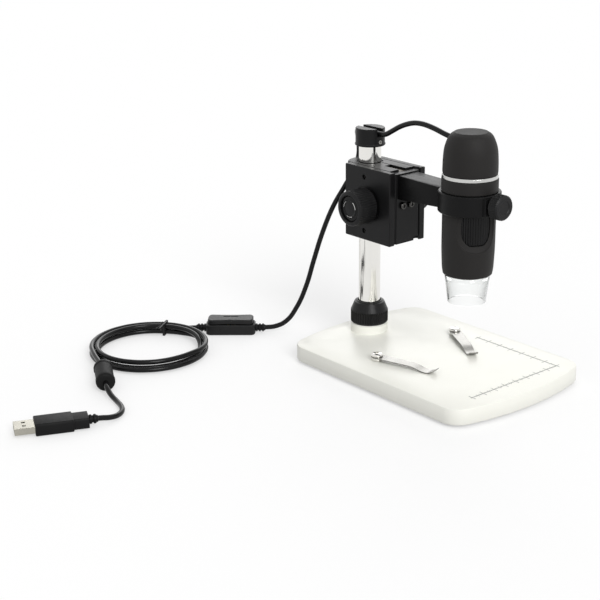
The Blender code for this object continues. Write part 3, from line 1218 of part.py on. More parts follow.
def make_lights(scope):
    """The ring board above the nozzle with the lamps soldered on it."""
    board = BARREL_LOWER_BORE - TOUCH
    top = LED_BOARD_BOTTOM + BOARD_THICKNESS
    ring = [(LED_BOARD_HOLE, top), (board, top), (board, LED_BOARD_BOTTOM), (LED_BOARD_HOLE, LED_BOARD_BOTTOM)]
    lights = turned("led_board", ring, BOARD_GREEN, scope, closed=True)
    places = [(LED_RING_RADIUS * math.cos(a), LED_RING_RADIUS * math.sin(a))
              for a in (2 * math.pi * i / LED_COUNT for i in range(LED_COUNT))]
    high = LED_BOARD_BOTTOM + BOARD_THICKNESS / 2
    lamps = rods(LED_RADIUS, LED_BOARD_BOTTOM - LED_HEIGHT, high, places, TINY_STEPS,
                 low_radius=LED_RADIUS * HEX_SHARE)
    join(lights, cutter(lamps, scope))


def make_nozzle(scope):
    """The clear nozzle: a neck pressed into the barrel, a flange and a tapered skirt."""
    flange = BARREL_BOTTOM - TOUCH
    neck_inner = NOZZLE_NECK_RADIUS - NOZZLE_WALL
    flange_inner = NOZZLE_FLANGE_RADIUS - NOZZLE_WALL
    turned("clear_nozzle", [
        (neck_inner, NOZZLE_NECK_TOP), (NOZZLE_NECK_RADIUS, NOZZLE_NECK_TOP), (NOZZLE_NECK_RADIUS, flange),
        (NOZZLE_FLANGE_RADIUS, flange), (NOZZLE_FLANGE_RADIUS, flange - NOZZLE_WALL),
        (NOZZLE_KNEE_RADIUS, NOZZLE_KNEE_Z), (NOZZLE_KNEE_RADIUS - FINE_EDGE / 2, NOZZLE_BOTTOM),
        (NOZZLE_KNEE_RADIUS - NOZZLE_WALL, NOZZLE_BOTTOM), (NOZZLE_KNEE_RADIUS - NOZZLE_WALL, NOZZLE_KNEE_Z),
        (flange_inner - NOZZLE_WALL / 2, flange - NOZZLE_WALL)],
        CLEAR, scope, closed=True, steps=BARREL_STEPS)


# Cord and what is on it

def ribbed(length, rings, tip_radius, ring_radius, groove_radius):
    """A strain relief's section from its tip down: rings with grooves between them."""
    profile = [(0.0, length), (tip_radius, length)]
    pitch = length / rings
    radii = (groove_radius, groove_radius, ring_radius, ring_radius)
    for i in range(rings):
        top = length - i * pitch
        profile += [(radius, top - pitch * share) for radius, share in zip(radii, RELIEF_RING_SHARES)]
    return profile + [(ring_radius, 0.0), (0.0, 0.0)]


def make_dimmer_box(box):
    """The two-part housing, its reliefs, board, potentiometer and dimmer wheel."""
    floor = TOUCH
    tray_plan = rounded_rectangle(BOX_LENGTH, BOX_WIDTH, BOX_CORNER)
    tray = piece("dimmer_tray", outline(tray_plan, floor, BOX_TRAY_TOP), BLACK_PLASTIC, box)
    round_edges(tray, BOX_EDGE, 1)
    hollow_plan = rounded_rectangle(BOX_LENGTH - 2 * BOX_WALL, BOX_WIDTH - 2 * BOX_WALL, BOX_CORNER - BOX_WALL)
    hollow = outline(hollow_plan, floor + BOX_WALL, BOX_TRAY_TOP + OVERRUN)
    neck = RELIEF_GROOVE_RADIUS + TOUCH
    passage = rods(neck, -BOX_LENGTH, BOX_LENGTH)
    dimple_x = -BOX_LENGTH * BOX_DIMPLE_X_SHARE
    dimple = rods(BOX_DIMPLE_RADIUS, BOX_WIDTH / 2 - BOX_DIMPLE_DEPTH, BOX_WIDTH / 2 + OVERRUN, steps=TINY_STEPS)
    middle = (0.0, 0.0, RELIEF_HEIGHT)
    cut(tray, cutter(hollow, box), cutter(passage, box, middle, TOWARD_X),
        cutter(dimple, box, (dimple_x, 0.0, BOX_TRAY_TOP / 2 + BOX_DIMPLE_RADIUS), TOWARD_NEAR))
    make_dimmer_cover(box)
    make_dimmer_inside(box)
    make_box_reliefs(box)


def cover_outline():
    """The cover's plan: a rounded rectangle drawn in along its sides."""
    points = []
    for x, y in rounded_rectangle(COVER_LENGTH, BOX_WIDTH, BOX_CORNER):
        points.append((x, y))
        if abs(y) == BOX_WIDTH / 2 and abs(x) == COVER_LENGTH / 2 - BOX_CORNER and x * y > 0:
            side = math.copysign(1.0, y)
            for i in range(1, 6):
                share = i / 6
                points.append((x * (1 - 2 * share), side * (BOX_WIDTH / 2 - COVER_WAIST * math.sin(math.pi * share))))
    return points


def make_dimmer_cover(box):
    """The raised cover with the slot over the dimmer wheel."""
    low = BOX_TRAY_TOP + TOUCH
    cover = piece("dimmer_cover", outline(cover_outline(), low, BOX_TOP), BLACK_PLASTIC, box)
    round_edges(cover, BOX_EDGE, 1)
    slot = boxes(((-DIMMER_SLOT_LENGTH / 2, DIMMER_SLOT_Y - DIMMER_SLOT_WIDTH / 2, low - OVERRUN),
                  (DIMMER_SLOT_LENGTH / 2, DIMMER_SLOT_Y + DIMMER_SLOT_WIDTH / 2, BOX_TOP + OVERRUN)))
    well = boxes(((-BOX_BOARD_LENGTH / 2, -BOX_WIDTH / 2 + BOX_CORNER, low - OVERRUN),
                  (BOX_BOARD_LENGTH / 2, BOX_WIDTH / 2 - BOX_CORNER, BOX_TOP - BOX_WALL)))
    cut(cover, cutter(slot, box), cutter(well, box))


def make_dimmer_inside(box):
    """The circuit board with its potentiometer, and the wheel on the potentiometer's shaft."""
    half_width = BOX_WIDTH / 2 - BOX_WALL - TOUCH
    top = BOX_BOARD_BOTTOM + BOARD_THICKNESS
    board = piece("dimmer_board", boxes(((-BOX_BOARD_LENGTH / 2, -half_width, BOX_BOARD_BOTTOM),
                                         (BOX_BOARD_LENGTH / 2, half_width, top))), BOARD_GREEN, box)
    gap = DIMMER_RADIUS + RUNNING_GAP
    wheel_low = DIMMER_SLOT_Y - DIMMER_SLOT_WIDTH / 2
    notch = boxes(((-gap, wheel_low, 0.0), (gap, half_width + OVERRUN, BOX_TRAY_TOP)))
    cut(board, cutter(notch, box))
    legs = boxes(*(((x, -half_width, BOX_WALL + TOUCH + TOUCH), (x + BOX_WALL, 0.0, top - TOUCH))
                   for x in (-BOX_BOARD_LENGTH / 2 + BOX_WALL, BOX_BOARD_LENGTH / 2 - 2 * BOX_WALL)))
    join(board, cutter(legs, box))
    wheel_z = BOX_TOP - DIMMER_FLUTE_DEPTH / 2 - DIMMER_RADIUS
    length, depth, height = POT_SIZE
    pot_far = wheel_low - RUNNING_GAP
    dial = boxes(((-length / 2, pot_far - depth, top - BOARD_THICKNESS / 2),
                  (length / 2, pot_far, top + height)))
    axis = (0.0, DIMMER_SLOT_Y, wheel_z)
    bore = rods(DIMMER_SHAFT_RADIUS + RUNNING_GAP, 0.0, depth, steps=TINY_STEPS)
    join(board, cutter(dial, box))
    cut(board, cutter(bore, box, axis, TOWARD_NEAR))
    turn = pivot("dimmer_turn", axis, box)
    half = DIMMER_THICKNESS / 2
    wheel = piece("dimmer_wheel", outline(flute_outline(DIMMER_RADIUS, DIMMER_FLUTE_DEPTH, DIMMER_FLUTES),
                                          -half, half), BLACK_PLASTIC, turn, ORIGIN, TOWARD_NEAR)
    join(wheel, cutter(rods(DIMMER_SHAFT_RADIUS, 0.0, depth - TOUCH, steps=TINY_STEPS), turn, ORIGIN, TOWARD_NEAR))


def make_box_reliefs(box):
    """The ribbed strain relief at each end of the box, with the neck that the tray holds."""
    start = BOX_LENGTH / 2 + TOUCH
    profile = ribbed(RELIEF_LENGTH, RELIEF_RINGS, CORD_RADIUS + TOUCH, RELIEF_RADIUS, RELIEF_GROOVE_RADIUS)
    neck = RELIEF_GROOVE_RADIUS
    reach = 2 * BOX_WALL
    body = [(r, start + z) for r, z in profile[:-1]] + [(neck, start), (neck, start - reach), (0.0, start - reach)]
    for name, turn in (("front_relief", TOWARD_X), ("rear_relief", (0.0, -math.pi / 2, 0.0))):
        turned(name, body, BLACK_RUBBER, box, steps=SMALL_STEPS, location=(0.0, 0.0, RELIEF_HEIGHT), turn=turn)


def make_coil(stand):
    """The coiled length as one ring, and the wire tie round it."""
    low, high = COIL_BOTTOM, COIL_BOTTOM + COIL_SECTION
    centre = (*COIL_CENTRE, 0.0)
    inner, outer, edge = COIL_INNER_RADIUS, COIL_OUTER_RADIUS, COIL_EDGE
    turned("cord_coil", [(inner + edge, high), (outer - edge, high), (outer, high - edge), (outer, low + edge),
                         (outer - edge, low), (inner + edge, low), (inner, low + edge), (inner, high - edge)],
           BLACK_RUBBER, stand, closed=True, steps=COIL_STEPS, location=centre)
    inside = (inner - TOUCH, low - TOUCH, outer + TOUCH, high + TOUCH)
    wall = TIE_THICKNESS
    tie_turn = (0.0, 0.0, TIE_HEADING)
    half = TIE_WIDTH / 2
    tie = piece("cord_tie", boxes(((inside[0] - wall, -half, inside[1] - wall),
                                   (inside[2] + wall, half, inside[3] + wall))), BLACK_PLASTIC, stand,
                centre, tie_turn)
    tail_top = inside[3] + wall
    tail = boxes(((inside[0] - TIE_TAIL_LENGTH, -wall, tail_top - wall), (inside[0], wall, tail_top)))
    join(tie, cutter(tail, stand, centre, tie_turn))
    hole = boxes(((inside[0], -TIE_WIDTH, inside[1]), (inside[2], TIE_WIDTH, inside[3])))
    cut(tie, cutter(hole, stand, centre, tie_turn))


def make_ferrite(stand):
    """The moulded ferrite bead with its rounded end rims."""
    length, radius, rim = FERRITE_LENGTH, FERRITE_RADIUS, FERRITE_RIM
    waist = radius - FERRITE_RIM_STEP
    quarter = arc((0.0, 0.0), 1.0, math.pi / 2, 0.0, 3)
    top = [(radius - rim + rim * across, length - rim + rim * up) for across, up in quarter]
    bottom = [(r, length - z) for r, z in reversed(top)]
    profile = [(0.0, length)] + top + [(radius, length - 2 * rim), (waist, length - 2 * rim - FERRITE_RIM_STEP),
                                       (waist, 2 * rim + FERRITE_RIM_STEP), (radius, 2 * rim)]
    turned("ferrite_bead", profile + bottom + [(0.0, 0.0)], BLACK_PLASTIC, stand, steps=BEAD_STEPS,
           location=(*FERRITE_START, FERRITE_Z), turn=(0.0, math.pi / 2, FERRITE_HEADING))


def make_plug(plug):
    """The plug along +X from its strain relief: overmould, shell, tongue and contacts."""
    relief_end = PLUG_RELIEF_LENGTH
    body_end = relief_end + PLUG_BODY_LENGTH
    rear_end = body_end - PLUG_FRONT_LENGTH
    rear = outline(rounded_rectangle(PLUG_REAR_HEIGHT, PLUG_REAR_WIDTH, PLUG_EDGE, 3), relief_end, body_end - OVERRUN)
    front = outline(rounded_rectangle(PLUG_HEIGHT, PLUG_WIDTH, PLUG_EDGE, 3), rear_end, body_end)
    body = piece("usb_overmould", front, BLACK_PLASTIC, plug, ORIGIN, TOWARD_X)
    round_edges(body, PLUG_EDGE / 2)
    relief = ribbed(relief_end + OVERRUN, RELIEF_RINGS, CORD_RADIUS + TOUCH, RELIEF_RADIUS, RELIEF_GROOVE_RADIUS)
    join(body, cutter(rear, plug, ORIGIN, TOWARD_X),
         turned_cutter(relief, plug, steps=SMALL_STEPS, location=(relief_end + OVERRUN, 0.0, 0.0),
                       turn=(0.0, -math.pi / 2, 0.0)))
    half_width, half_height = SHELL_WIDTH / 2, SHELL_HEIGHT / 2
    root = body_end - SHELL_ROOT
    tip = body_end + SHELL_LENGTH
    socket = boxes(((root - TOUCH, -half_width - TOUCH, -half_height - TOUCH),
                    (body_end + OVERRUN, half_width + TOUCH, half_height + TOUCH)))
    cut(body, cutter(socket, plug))
    shell = piece("usb_shell", boxes(((root, -half_width, -half_height), (tip, half_width, half_height))),
                  STEEL, plug)
    wall = SHELL_WALL
    hollow = boxes(((root - OVERRUN, wall - half_width, wall - half_height),
                    (tip + OVERRUN, half_width - wall, half_height - wall)))
    window_x = body_end + SHELL_WINDOW_X
    window = SHELL_WINDOW / 2
    windows = boxes(*(((window_x - window, y - window, half_height - 2 * wall),
                       (window_x + window, y + window, half_height + OVERRUN))
                      for y in (-SHELL_WINDOW_Y, SHELL_WINDOW_Y)))
    cut(shell, cutter(hollow, plug), cutter(windows, plug))
    make_plug_tongue(plug, root, tip, half_width - wall - TOUCH, half_height - wall - TOUCH)


def make_plug_tongue(plug, root, tip, half_width, inner_height):
    """The plastic tongue in the shell's lower half with its four contact strips."""
    back = root + SHELL_ROOT
    front = tip - SHELL_WALL
    bottom = -inner_height
    tongue_top = bottom + TONGUE_HEIGHT
    tongue = piece("usb_tongue", boxes(((root, -half_width, bottom), (front, half_width, tongue_top))),
                   WHITE_PLASTIC, plug)
    block = boxes(((root, -half_width, bottom + TONGUE_HEIGHT / 2), (back, half_width, inner_height)))
    contacts = boxes(*(((back - OVERRUN / 2, y - CONTACT_WIDTH / 2, bottom + TONGUE_HEIGHT / 2),
                        (back + CONTACT_LENGTH, y + CONTACT_WIDTH / 2, tongue_top + CONTACT_THICKNESS))
                       for y in CONTACT_YS))
    join(tongue, cutter(block, plug), cutter(contacts, plug))


# Assembly

def build():
    """Make every piece under the empties of its joints."""
    stand = pivot("stand_axis", (POST_X, 0.0, 0.0))
    make_base(stand)
    make_feet()
    make_post(stand)
    make_collar(stand)
    make_cap(stand)
    make_clip("near_clip", stand, -CLIP_STUD_Y, NEAR_CLIP_HEADING)
    make_clip("far_clip", stand, CLIP_STUD_Y, FAR_CLIP_HEADING)
    make_clip_stud("near_clip_stud", stand, -CLIP_STUD_Y)
    make_clip_stud("far_clip_stud", stand, CLIP_STUD_Y)
    swivel = pivot("block_swivel", ORIGIN, make_sleeve(stand))
    make_block_body(swivel)
    make_side_plate("near_side_plate", -1, swivel)
    make_side_plate("far_side_plate", 1, swivel)
    for name, z in zip(("upper_clamp_screw", "lower_clamp_screw"), clamp_screw_heights()):
        make_clamp_screw(name, z, swivel)
    knob_turn = pivot("knob_turn", (SHAFT_X, 0.0, SHAFT_Z), swivel)
    make_pinion(knob_turn)
    make_knob("near_knob", TOWARD_NEAR, knob_turn)
    make_knob("far_knob", TOWARD_FAR, knob_turn)
    slide = pivot("carriage_slide", ORIGIN, swivel)
    make_carriage(slide)
    make_arm(slide)
    make_thumb_screw(slide)
    scope = pivot("scope_turn", (SCOPE_FROM_POST, 0.0, 0.0), slide)
    make_barrel(scope)
    make_head(scope)
    make_optics(scope)
    make_lights(scope)
    make_nozzle(scope)
    cord_tube("cord_arch", ARCH_ROUTE, slide)
    cord_tube("cord_drop", DROP_ROUTE, stand)
    cord_tube("cord_coil_lead", COIL_LEAD_ROUTE, stand)
    cord_tube("cord_bead_lead", BEAD_LEAD_ROUTE, stand)
    cord_tube("cord_plug_lead", PLUG_LEAD_ROUTE, stand)
    make_dimmer_box(pivot("dimmer_box", (*BOX_CENTRE, 0.0), stand, (0.0, 0.0, BOX_HEADING)))
    make_coil(stand)
    make_ferrite(stand)
    make_plug(pivot("plug", (*PLUG_START, PLUG_Z), stand, (0.0, 0.0, PLUG_HEADING)))


clear_scene()
PARTS = new_group("usb_digital_microscope")
CUTTERS = new_group("cutters")
build()
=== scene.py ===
"""A handheld digital microscope on a focusing stand, dressed for its picture.

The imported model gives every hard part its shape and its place. This file adds the finishes, the turned and
fluted parts that need finer steps, the cord, the printed rule, the light and the camera. Lengths are in
metres.
"""

import logging
import math
from dataclasses import dataclass, replace
from enum import Enum
from functools import reduce
from typing import Any, Iterable, Sequence

import bmesh
import bpy
from mathutils import Euler, Matrix, Vector


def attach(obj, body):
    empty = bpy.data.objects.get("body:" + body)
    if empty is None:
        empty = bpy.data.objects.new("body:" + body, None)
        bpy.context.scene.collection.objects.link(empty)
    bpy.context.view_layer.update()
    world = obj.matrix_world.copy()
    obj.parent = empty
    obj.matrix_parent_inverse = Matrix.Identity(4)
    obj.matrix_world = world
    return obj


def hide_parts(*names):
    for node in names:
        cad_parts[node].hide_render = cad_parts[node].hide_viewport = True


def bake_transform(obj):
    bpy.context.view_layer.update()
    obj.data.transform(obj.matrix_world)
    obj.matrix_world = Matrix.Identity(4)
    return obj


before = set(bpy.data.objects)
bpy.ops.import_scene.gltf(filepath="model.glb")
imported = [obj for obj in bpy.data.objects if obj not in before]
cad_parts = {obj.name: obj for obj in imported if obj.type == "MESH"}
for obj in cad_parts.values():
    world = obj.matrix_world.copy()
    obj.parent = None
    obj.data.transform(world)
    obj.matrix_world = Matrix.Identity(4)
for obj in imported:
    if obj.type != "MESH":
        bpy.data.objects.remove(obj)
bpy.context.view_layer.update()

LOG = logging.getLogger("microscope")
POST_X = -0.0639
SCOPE_X = 0.0289
ON_POST = (POST_X, 0.0, 0.0)
ON_SCOPE = (SCOPE_X, 0.0, 0.0)
# Steps round a turned part, for each flute, and round the cord
ROUND_STEPS, FLUTE_STEPS, CORD_STEPS = 96, 8, 20
# The largest angle that looks round, how near points are joined, and the shortest edge that stays
SOFT_DEGREES, WELD_REACH, LEAST_EDGE = 35.0, 0.000002, 0.000003
NUMBER, COLOUR, VECTOR = "NodeSocketFloat", "NodeSocketColor", "NodeSocketVector"
SHAPE, SUBSTANCE = "NodeSocketGeometry", "NodeSocketMaterial"
COPPER = (0.42, 0.24, 0.09, 1.0)
DUST = (0.42, 0.41, 0.39, 1.0)
WHITE = (1.0, 1.0, 1.0, 1.0)
Point = Colour = tuple[float, float, float]
Pair = tuple[float, float]
Rows = Sequence[Sequence[float]]
Socket, Group, Piece = bpy.types.NodeSocket, bpy.types.NodeTree, bpy.types.Object


class Axis(Enum):
    """The way that a turned part's own Z axis points."""

    UP = (0.0, 0.0, 0.0)
    FORWARD = (0.0, math.pi / 2, 0.0)
    NEAR = (math.pi / 2, 0.0, 0.0)
    FAR = (-math.pi / 2, 0.0, 0.0)


class Lines(Enum):
    """Stretch of the fine tool lines: large along the axis that they are stacked on."""

    NONE = (0.0, 0.0, 0.0)
    RINGS_Z = (1.0, 1.0, 120.0)
    RINGS_Y = (1.0, 120.0, 1.0)
    RINGS_X = (120.0, 1.0, 1.0)
    BRUSHED = (4.0, 110.0, 30.0)


# Finishes

@dataclass(frozen=True)
class Finish:
    """One finish of the object.

    Attributes:
        slot: The record's material slot that the finish belongs to.
        colour: The main colour, shade what it drifts to in patches, and edge that of rubbed edges. On clear
        finishes edge is a painted shade that the colour takes at grazing angles.
        roughness: The mean roughness, and spread is how far it drifts.
        depth: Height of the grain in metres. Grain and patch are how many there are in a metre.
        wear_and_highlight: How much the edges are rubbed, within edge_radius. On the collar the rubbed
        edge colour lights up the flute ridges as a painted highlight.
        dust: How much dust lies on the faces that look up.
        lines: The fine tool lines of the surface, and traces whether it has copper paths.
    """

    slot: str
    colour: Colour
    shade: Colour
    edge: Colour
    roughness: float = 0.45
    spread: float = 0.12
    depth: float = 0.00002
    grain: float = 2600.0
    patch: float = 70.0
    wear_and_highlight: float = 0.35
    edge_radius: float = 0.00025
    dust: float = 0.05
    metallic: float = 0.0
    specular: float = 0.5
    coat: float = 0.0
    sheen: float = 0.0
    transmission: float = 0.0
    ior: float = 1.5
    lines: Lines = Lines.NONE
    traces: bool = False


def grey(value: float, blue: float | None = None) -> Colour:
    """Return a grey, with its own blue where one is given."""
    return (value, value, value if blue is None else blue)


FINISHES: dict[str, Finish] = {finish.slot: finish for finish in (
    Finish("white_plastic", (0.88, 0.877, 0.815), (0.86, 0.857, 0.795), (0.92, 0.917, 0.87), roughness=0.36,
           spread=0.10, depth=0.000012, grain=3200.0, wear_and_highlight=0.25, dust=0.0, edge_radius=0.0006, specular=0.4),
    Finish("black_anodised", grey(0.0052, 0.0055), grey(0.0075, 0.008), grey(0.06), roughness=0.38,
           spread=0.14, depth=0.000010, grain=4200.0, wear_and_highlight=0.30, edge_radius=0.0003, specular=0.17),
    Finish("black_plastic", grey(0.0055, 0.0058), grey(0.0080, 0.0082), grey(0.035), roughness=0.42,
           depth=0.000022, grain=3000.0, specular=0.24),
    Finish("soft_black", (0.0120, 0.0110, 0.0105), (0.0150, 0.0140, 0.0135), (0.030, 0.029, 0.028),
           roughness=0.62, spread=0.10, depth=0.000016, grain=5200.0, wear_and_highlight=0.2, dust=0.04,
           edge_radius=0.0004, specular=0.20, sheen=0.03),
    Finish("black_rubber", grey(0.0035, 0.0037), grey(0.0052, 0.0055), grey(0.020), roughness=0.16,
           spread=0.06, depth=0.000004, grain=2200.0, wear_and_highlight=0.1, dust=0.02, specular=0.18),
    Finish("chrome", (0.83, 0.82, 0.79), (0.78, 0.77, 0.735), (0.86, 0.85, 0.82), roughness=0.07,
           spread=0.05, depth=0.000002, grain=1500.0, wear_and_highlight=0.2, dust=0.02, metallic=1.0,
           lines=Lines.RINGS_Z),
    Finish("steel", (0.33, 0.325, 0.305), (0.26, 0.255, 0.24), (0.62, 0.61, 0.59), roughness=0.26,
           depth=0.000006, grain=3500.0, dust=0.03, metallic=1.0, lines=Lines.RINGS_X),
    Finish("satin_silver", grey(0.64, 0.63), grey(0.52, 0.505), grey(0.88, 0.87), roughness=0.20,
           spread=0.10, depth=0.000005, grain=3500.0, dust=0.02, metallic=1.0, lines=Lines.BRUSHED),
    Finish("brass", (0.62, 0.44, 0.17), (0.48, 0.32, 0.12), (0.80, 0.62, 0.30), roughness=0.30, spread=0.14,
           depth=0.000006, metallic=1.0, lines=Lines.RINGS_Y),
    Finish("circuit_board", (0.012, 0.10, 0.045), (0.008, 0.07, 0.03), (0.30, 0.26, 0.14), roughness=0.35,
           depth=0.000014, grain=1600.0, traces=True),
    # The clear finishes' edge colours are a painted shade that the glass takes at grazing angles
    Finish("clear_acrylic", (0.985, 0.99, 0.985), (0.96, 0.97, 0.965), (0.10, 0.11, 0.105), roughness=0.030,
           spread=0.03, depth=0.000004, grain=900.0, transmission=1.0, ior=1.47, specular=0.30),
    Finish("lens_glass", (0.93, 0.96, 0.98), (0.90, 0.94, 0.97), (0.30, 0.33, 0.36), roughness=0.012,
           spread=0.015, depth=0.000001, grain=600.0, transmission=1.0, ior=1.52, coat=0.4),
)}
SPRING_STEEL = replace(FINISHES["satin_silver"], colour=(0.34, 0.335, 0.32), shade=(0.27, 0.265, 0.25),
                       edge=(0.80, 0.79, 0.77), roughness=0.27, wear_and_highlight=0.6, edge_radius=0.0003)
SHELL_STEEL = replace(FINISHES["steel"], colour=(0.42, 0.405, 0.35), shade=(0.38, 0.365, 0.32),
                      roughness=0.24, spread=0.05, depth=0.000003, wear_and_highlight=0.1, edge_radius=0.0004,
                      lines=Lines.NONE)
BEAD_BLACK = replace(FINISHES["soft_black"], colour=grey(0.0080, 0.0082), shade=grey(0.011), roughness=0.52,
                     specular=0.08, sheen=0.0)
PLUG_BLACK = replace(FINISHES["black_plastic"], roughness=0.50, specular=0.12)
ARM_BLACK = replace(FINISHES["black_plastic"], colour=grey(0.0042, 0.0044), shade=grey(0.0062, 0.0064),
                    roughness=0.38, specular=0.12)
# The collar's rubbed edge colour lightens its flute ridges: a painted highlight
COLLAR_BLACK = replace(FINISHES["black_plastic"], edge=grey(0.09, 0.085), roughness=0.34, wear_and_highlight=0.7,
                       edge_radius=0.0002, specular=0.20)
TURNED_BLACK = Finish("black_anodised", grey(0.0055, 0.0058), grey(0.0080, 0.0085), grey(0.05),
                      roughness=0.42, depth=0.000008, grain=4200.0, edge_radius=0.00010,
                      specular=0.20, lines=Lines.RINGS_Y)
DARK_STEEL = Finish("steel", (0.085, 0.083, 0.080), (0.050, 0.049, 0.047), (0.45, 0.44, 0.42),
                    roughness=0.30, spread=0.14, depth=0.000006, grain=3500.0, wear_and_highlight=0.6,
                    edge_radius=0.0002, metallic=1.0)
# Brass darkened nearly to black, for the rack inside the block
DARKENED_BRASS = Finish("brass", (0.050, 0.038, 0.018), (0.030, 0.023, 0.012), (0.30, 0.22, 0.10),
                     roughness=0.36, spread=0.14, depth=0.000008, wear_and_highlight=0.3, edge_radius=0.00015,
                     metallic=1.0, lines=Lines.RINGS_Z)
GLOSS_BLACK = Finish("black_plastic", grey(0.0040, 0.0045), grey(0.0060, 0.0065), grey(0.08),
                     roughness=0.22, spread=0.08, depth=0.000006, grain=2400.0, wear_and_highlight=0.4,
                     edge_radius=0.0002, specular=0.16)
PRINT_GREY = Finish("black_plastic", grey(0.11, 0.105), grey(0.15, 0.145), grey(0.25, 0.24), roughness=0.5,
                    spread=0.1, depth=0.000004, wear_and_highlight=0.1, dust=0.0)


class Tree:
    """Adds nodes to one node tree and links them."""

    def __init__(self, tree: Group) -> None:
        """Keep the tree."""
        self.tree = tree

    def add(self, kind: str, settings: dict[str, Any] | None = None, **sockets: Any) -> bpy.types.Node:
        """Add a node.

        Args:
            kind: The node's class name.
            settings: Properties of the node itself.
            **sockets: Values or links for its inputs, with underscores for spaces, or _0, _1 for places.

        Returns:
            The node.
        """
        node = self.tree.nodes.new(kind)
        for name, value in (settings or {}).items():
            setattr(node, name, value)
        self.give(node, **sockets)
        return node

    def give(self, node: bpy.types.Node, **sockets: Any) -> None:
        """Feed a node's inputs.

        Args:
            node: The node.
            **sockets: Values or links, named as in add.
        """
        for name, value in sockets.items():
            key = int(name[1:]) if name[0] == "_" else name.replace("_", " ")
            self.feed(node.inputs[key], value)

    def feed(self, socket: Socket, value: Any) -> None:
        """Link a socket to another one, or set its own value.

        Args:
            socket: The input.
            value: A socket that feeds it, or a plain value.
        """
        if isinstance(value, Socket):
            self.tree.links.new(value, socket)
        else:
            socket.default_value = value

    def maths(self, operation: str, *values: Any) -> Socket:
        """Return the result of a Math node."""
        places = {f"_{i}": value for i, value in enumerate(values)}
        return self.add("ShaderNodeMath", {"operation": operation}, **places).outputs[0]

    def product(self, *values: Any) -> Socket:
        """Return the product of several values."""
        return reduce(lambda first, second: self.maths("MULTIPLY", first, second), values)

    def place(self) -> Socket:
        """Return the place on the object."""
        return self.add("ShaderNodeTexCoord").outputs["Object"]

    def noise(self, place: Any, scale: Any, detail: float, **more: Any) -> Socket:
        """Return noise at a place."""
        return self.add("ShaderNodeTexNoise", Vector=place, Scale=scale, Detail=detail, **more).outputs[0]

    def ramp(self, value: Any, span: Sequence[float], start: float = 0.0,
             end: float = 1.0) -> Socket:
        """Return a value that goes from start to end as another one goes through a span."""
        return self.add("ShaderNodeMapRange", Value=value, From_Min=span[0], From_Max=span[1],
                        To_Min=start, To_Max=end).outputs[0]

    def blend(self, share: Any, low: Any, high: Any) -> Socket:
        """Return a mix of two colours."""
        return self.add("ShaderNodeMix", {"data_type": "RGBA"}, _0=share, _6=low, _7=high).outputs[2]


def bare_tree(owner: Any) -> Tree:
    """Empty the node tree of a material or a world.

    Args:
        owner: What the tree belongs to.

    Returns:
        The tree.
    """
    owner.use_nodes = True
    owner.node_tree.nodes.clear()
    return Tree(owner.node_tree)


def open_group(name: str, inputs: Sequence[tuple[str, str, Any]], outputs: Sequence[tuple[str, str]],
               kind: str = "ShaderNodeTree") -> tuple[Tree, Any, Any]:
    """Start a node group with named sockets.

    Args:
        name: The group's name.
        inputs: Name, type and value of each input.
        outputs: Name and type of each output.
        kind: The tree's type.

    Returns:
        The group's tree, the outputs of its input node, and its output node.
    """
    group = bpy.data.node_groups.new(name, kind)
    for label, sort, value in inputs:
        socket = group.interface.new_socket(name=label, in_out="INPUT", socket_type=sort)
        if value is not None:
            socket.default_value = value
    for label, sort in outputs:
        group.interface.new_socket(name=label, in_out="OUTPUT", socket_type=sort)
    tree = Tree(group)
    return tree, tree.add("NodeGroupInput").outputs, tree.add("NodeGroupOutput")


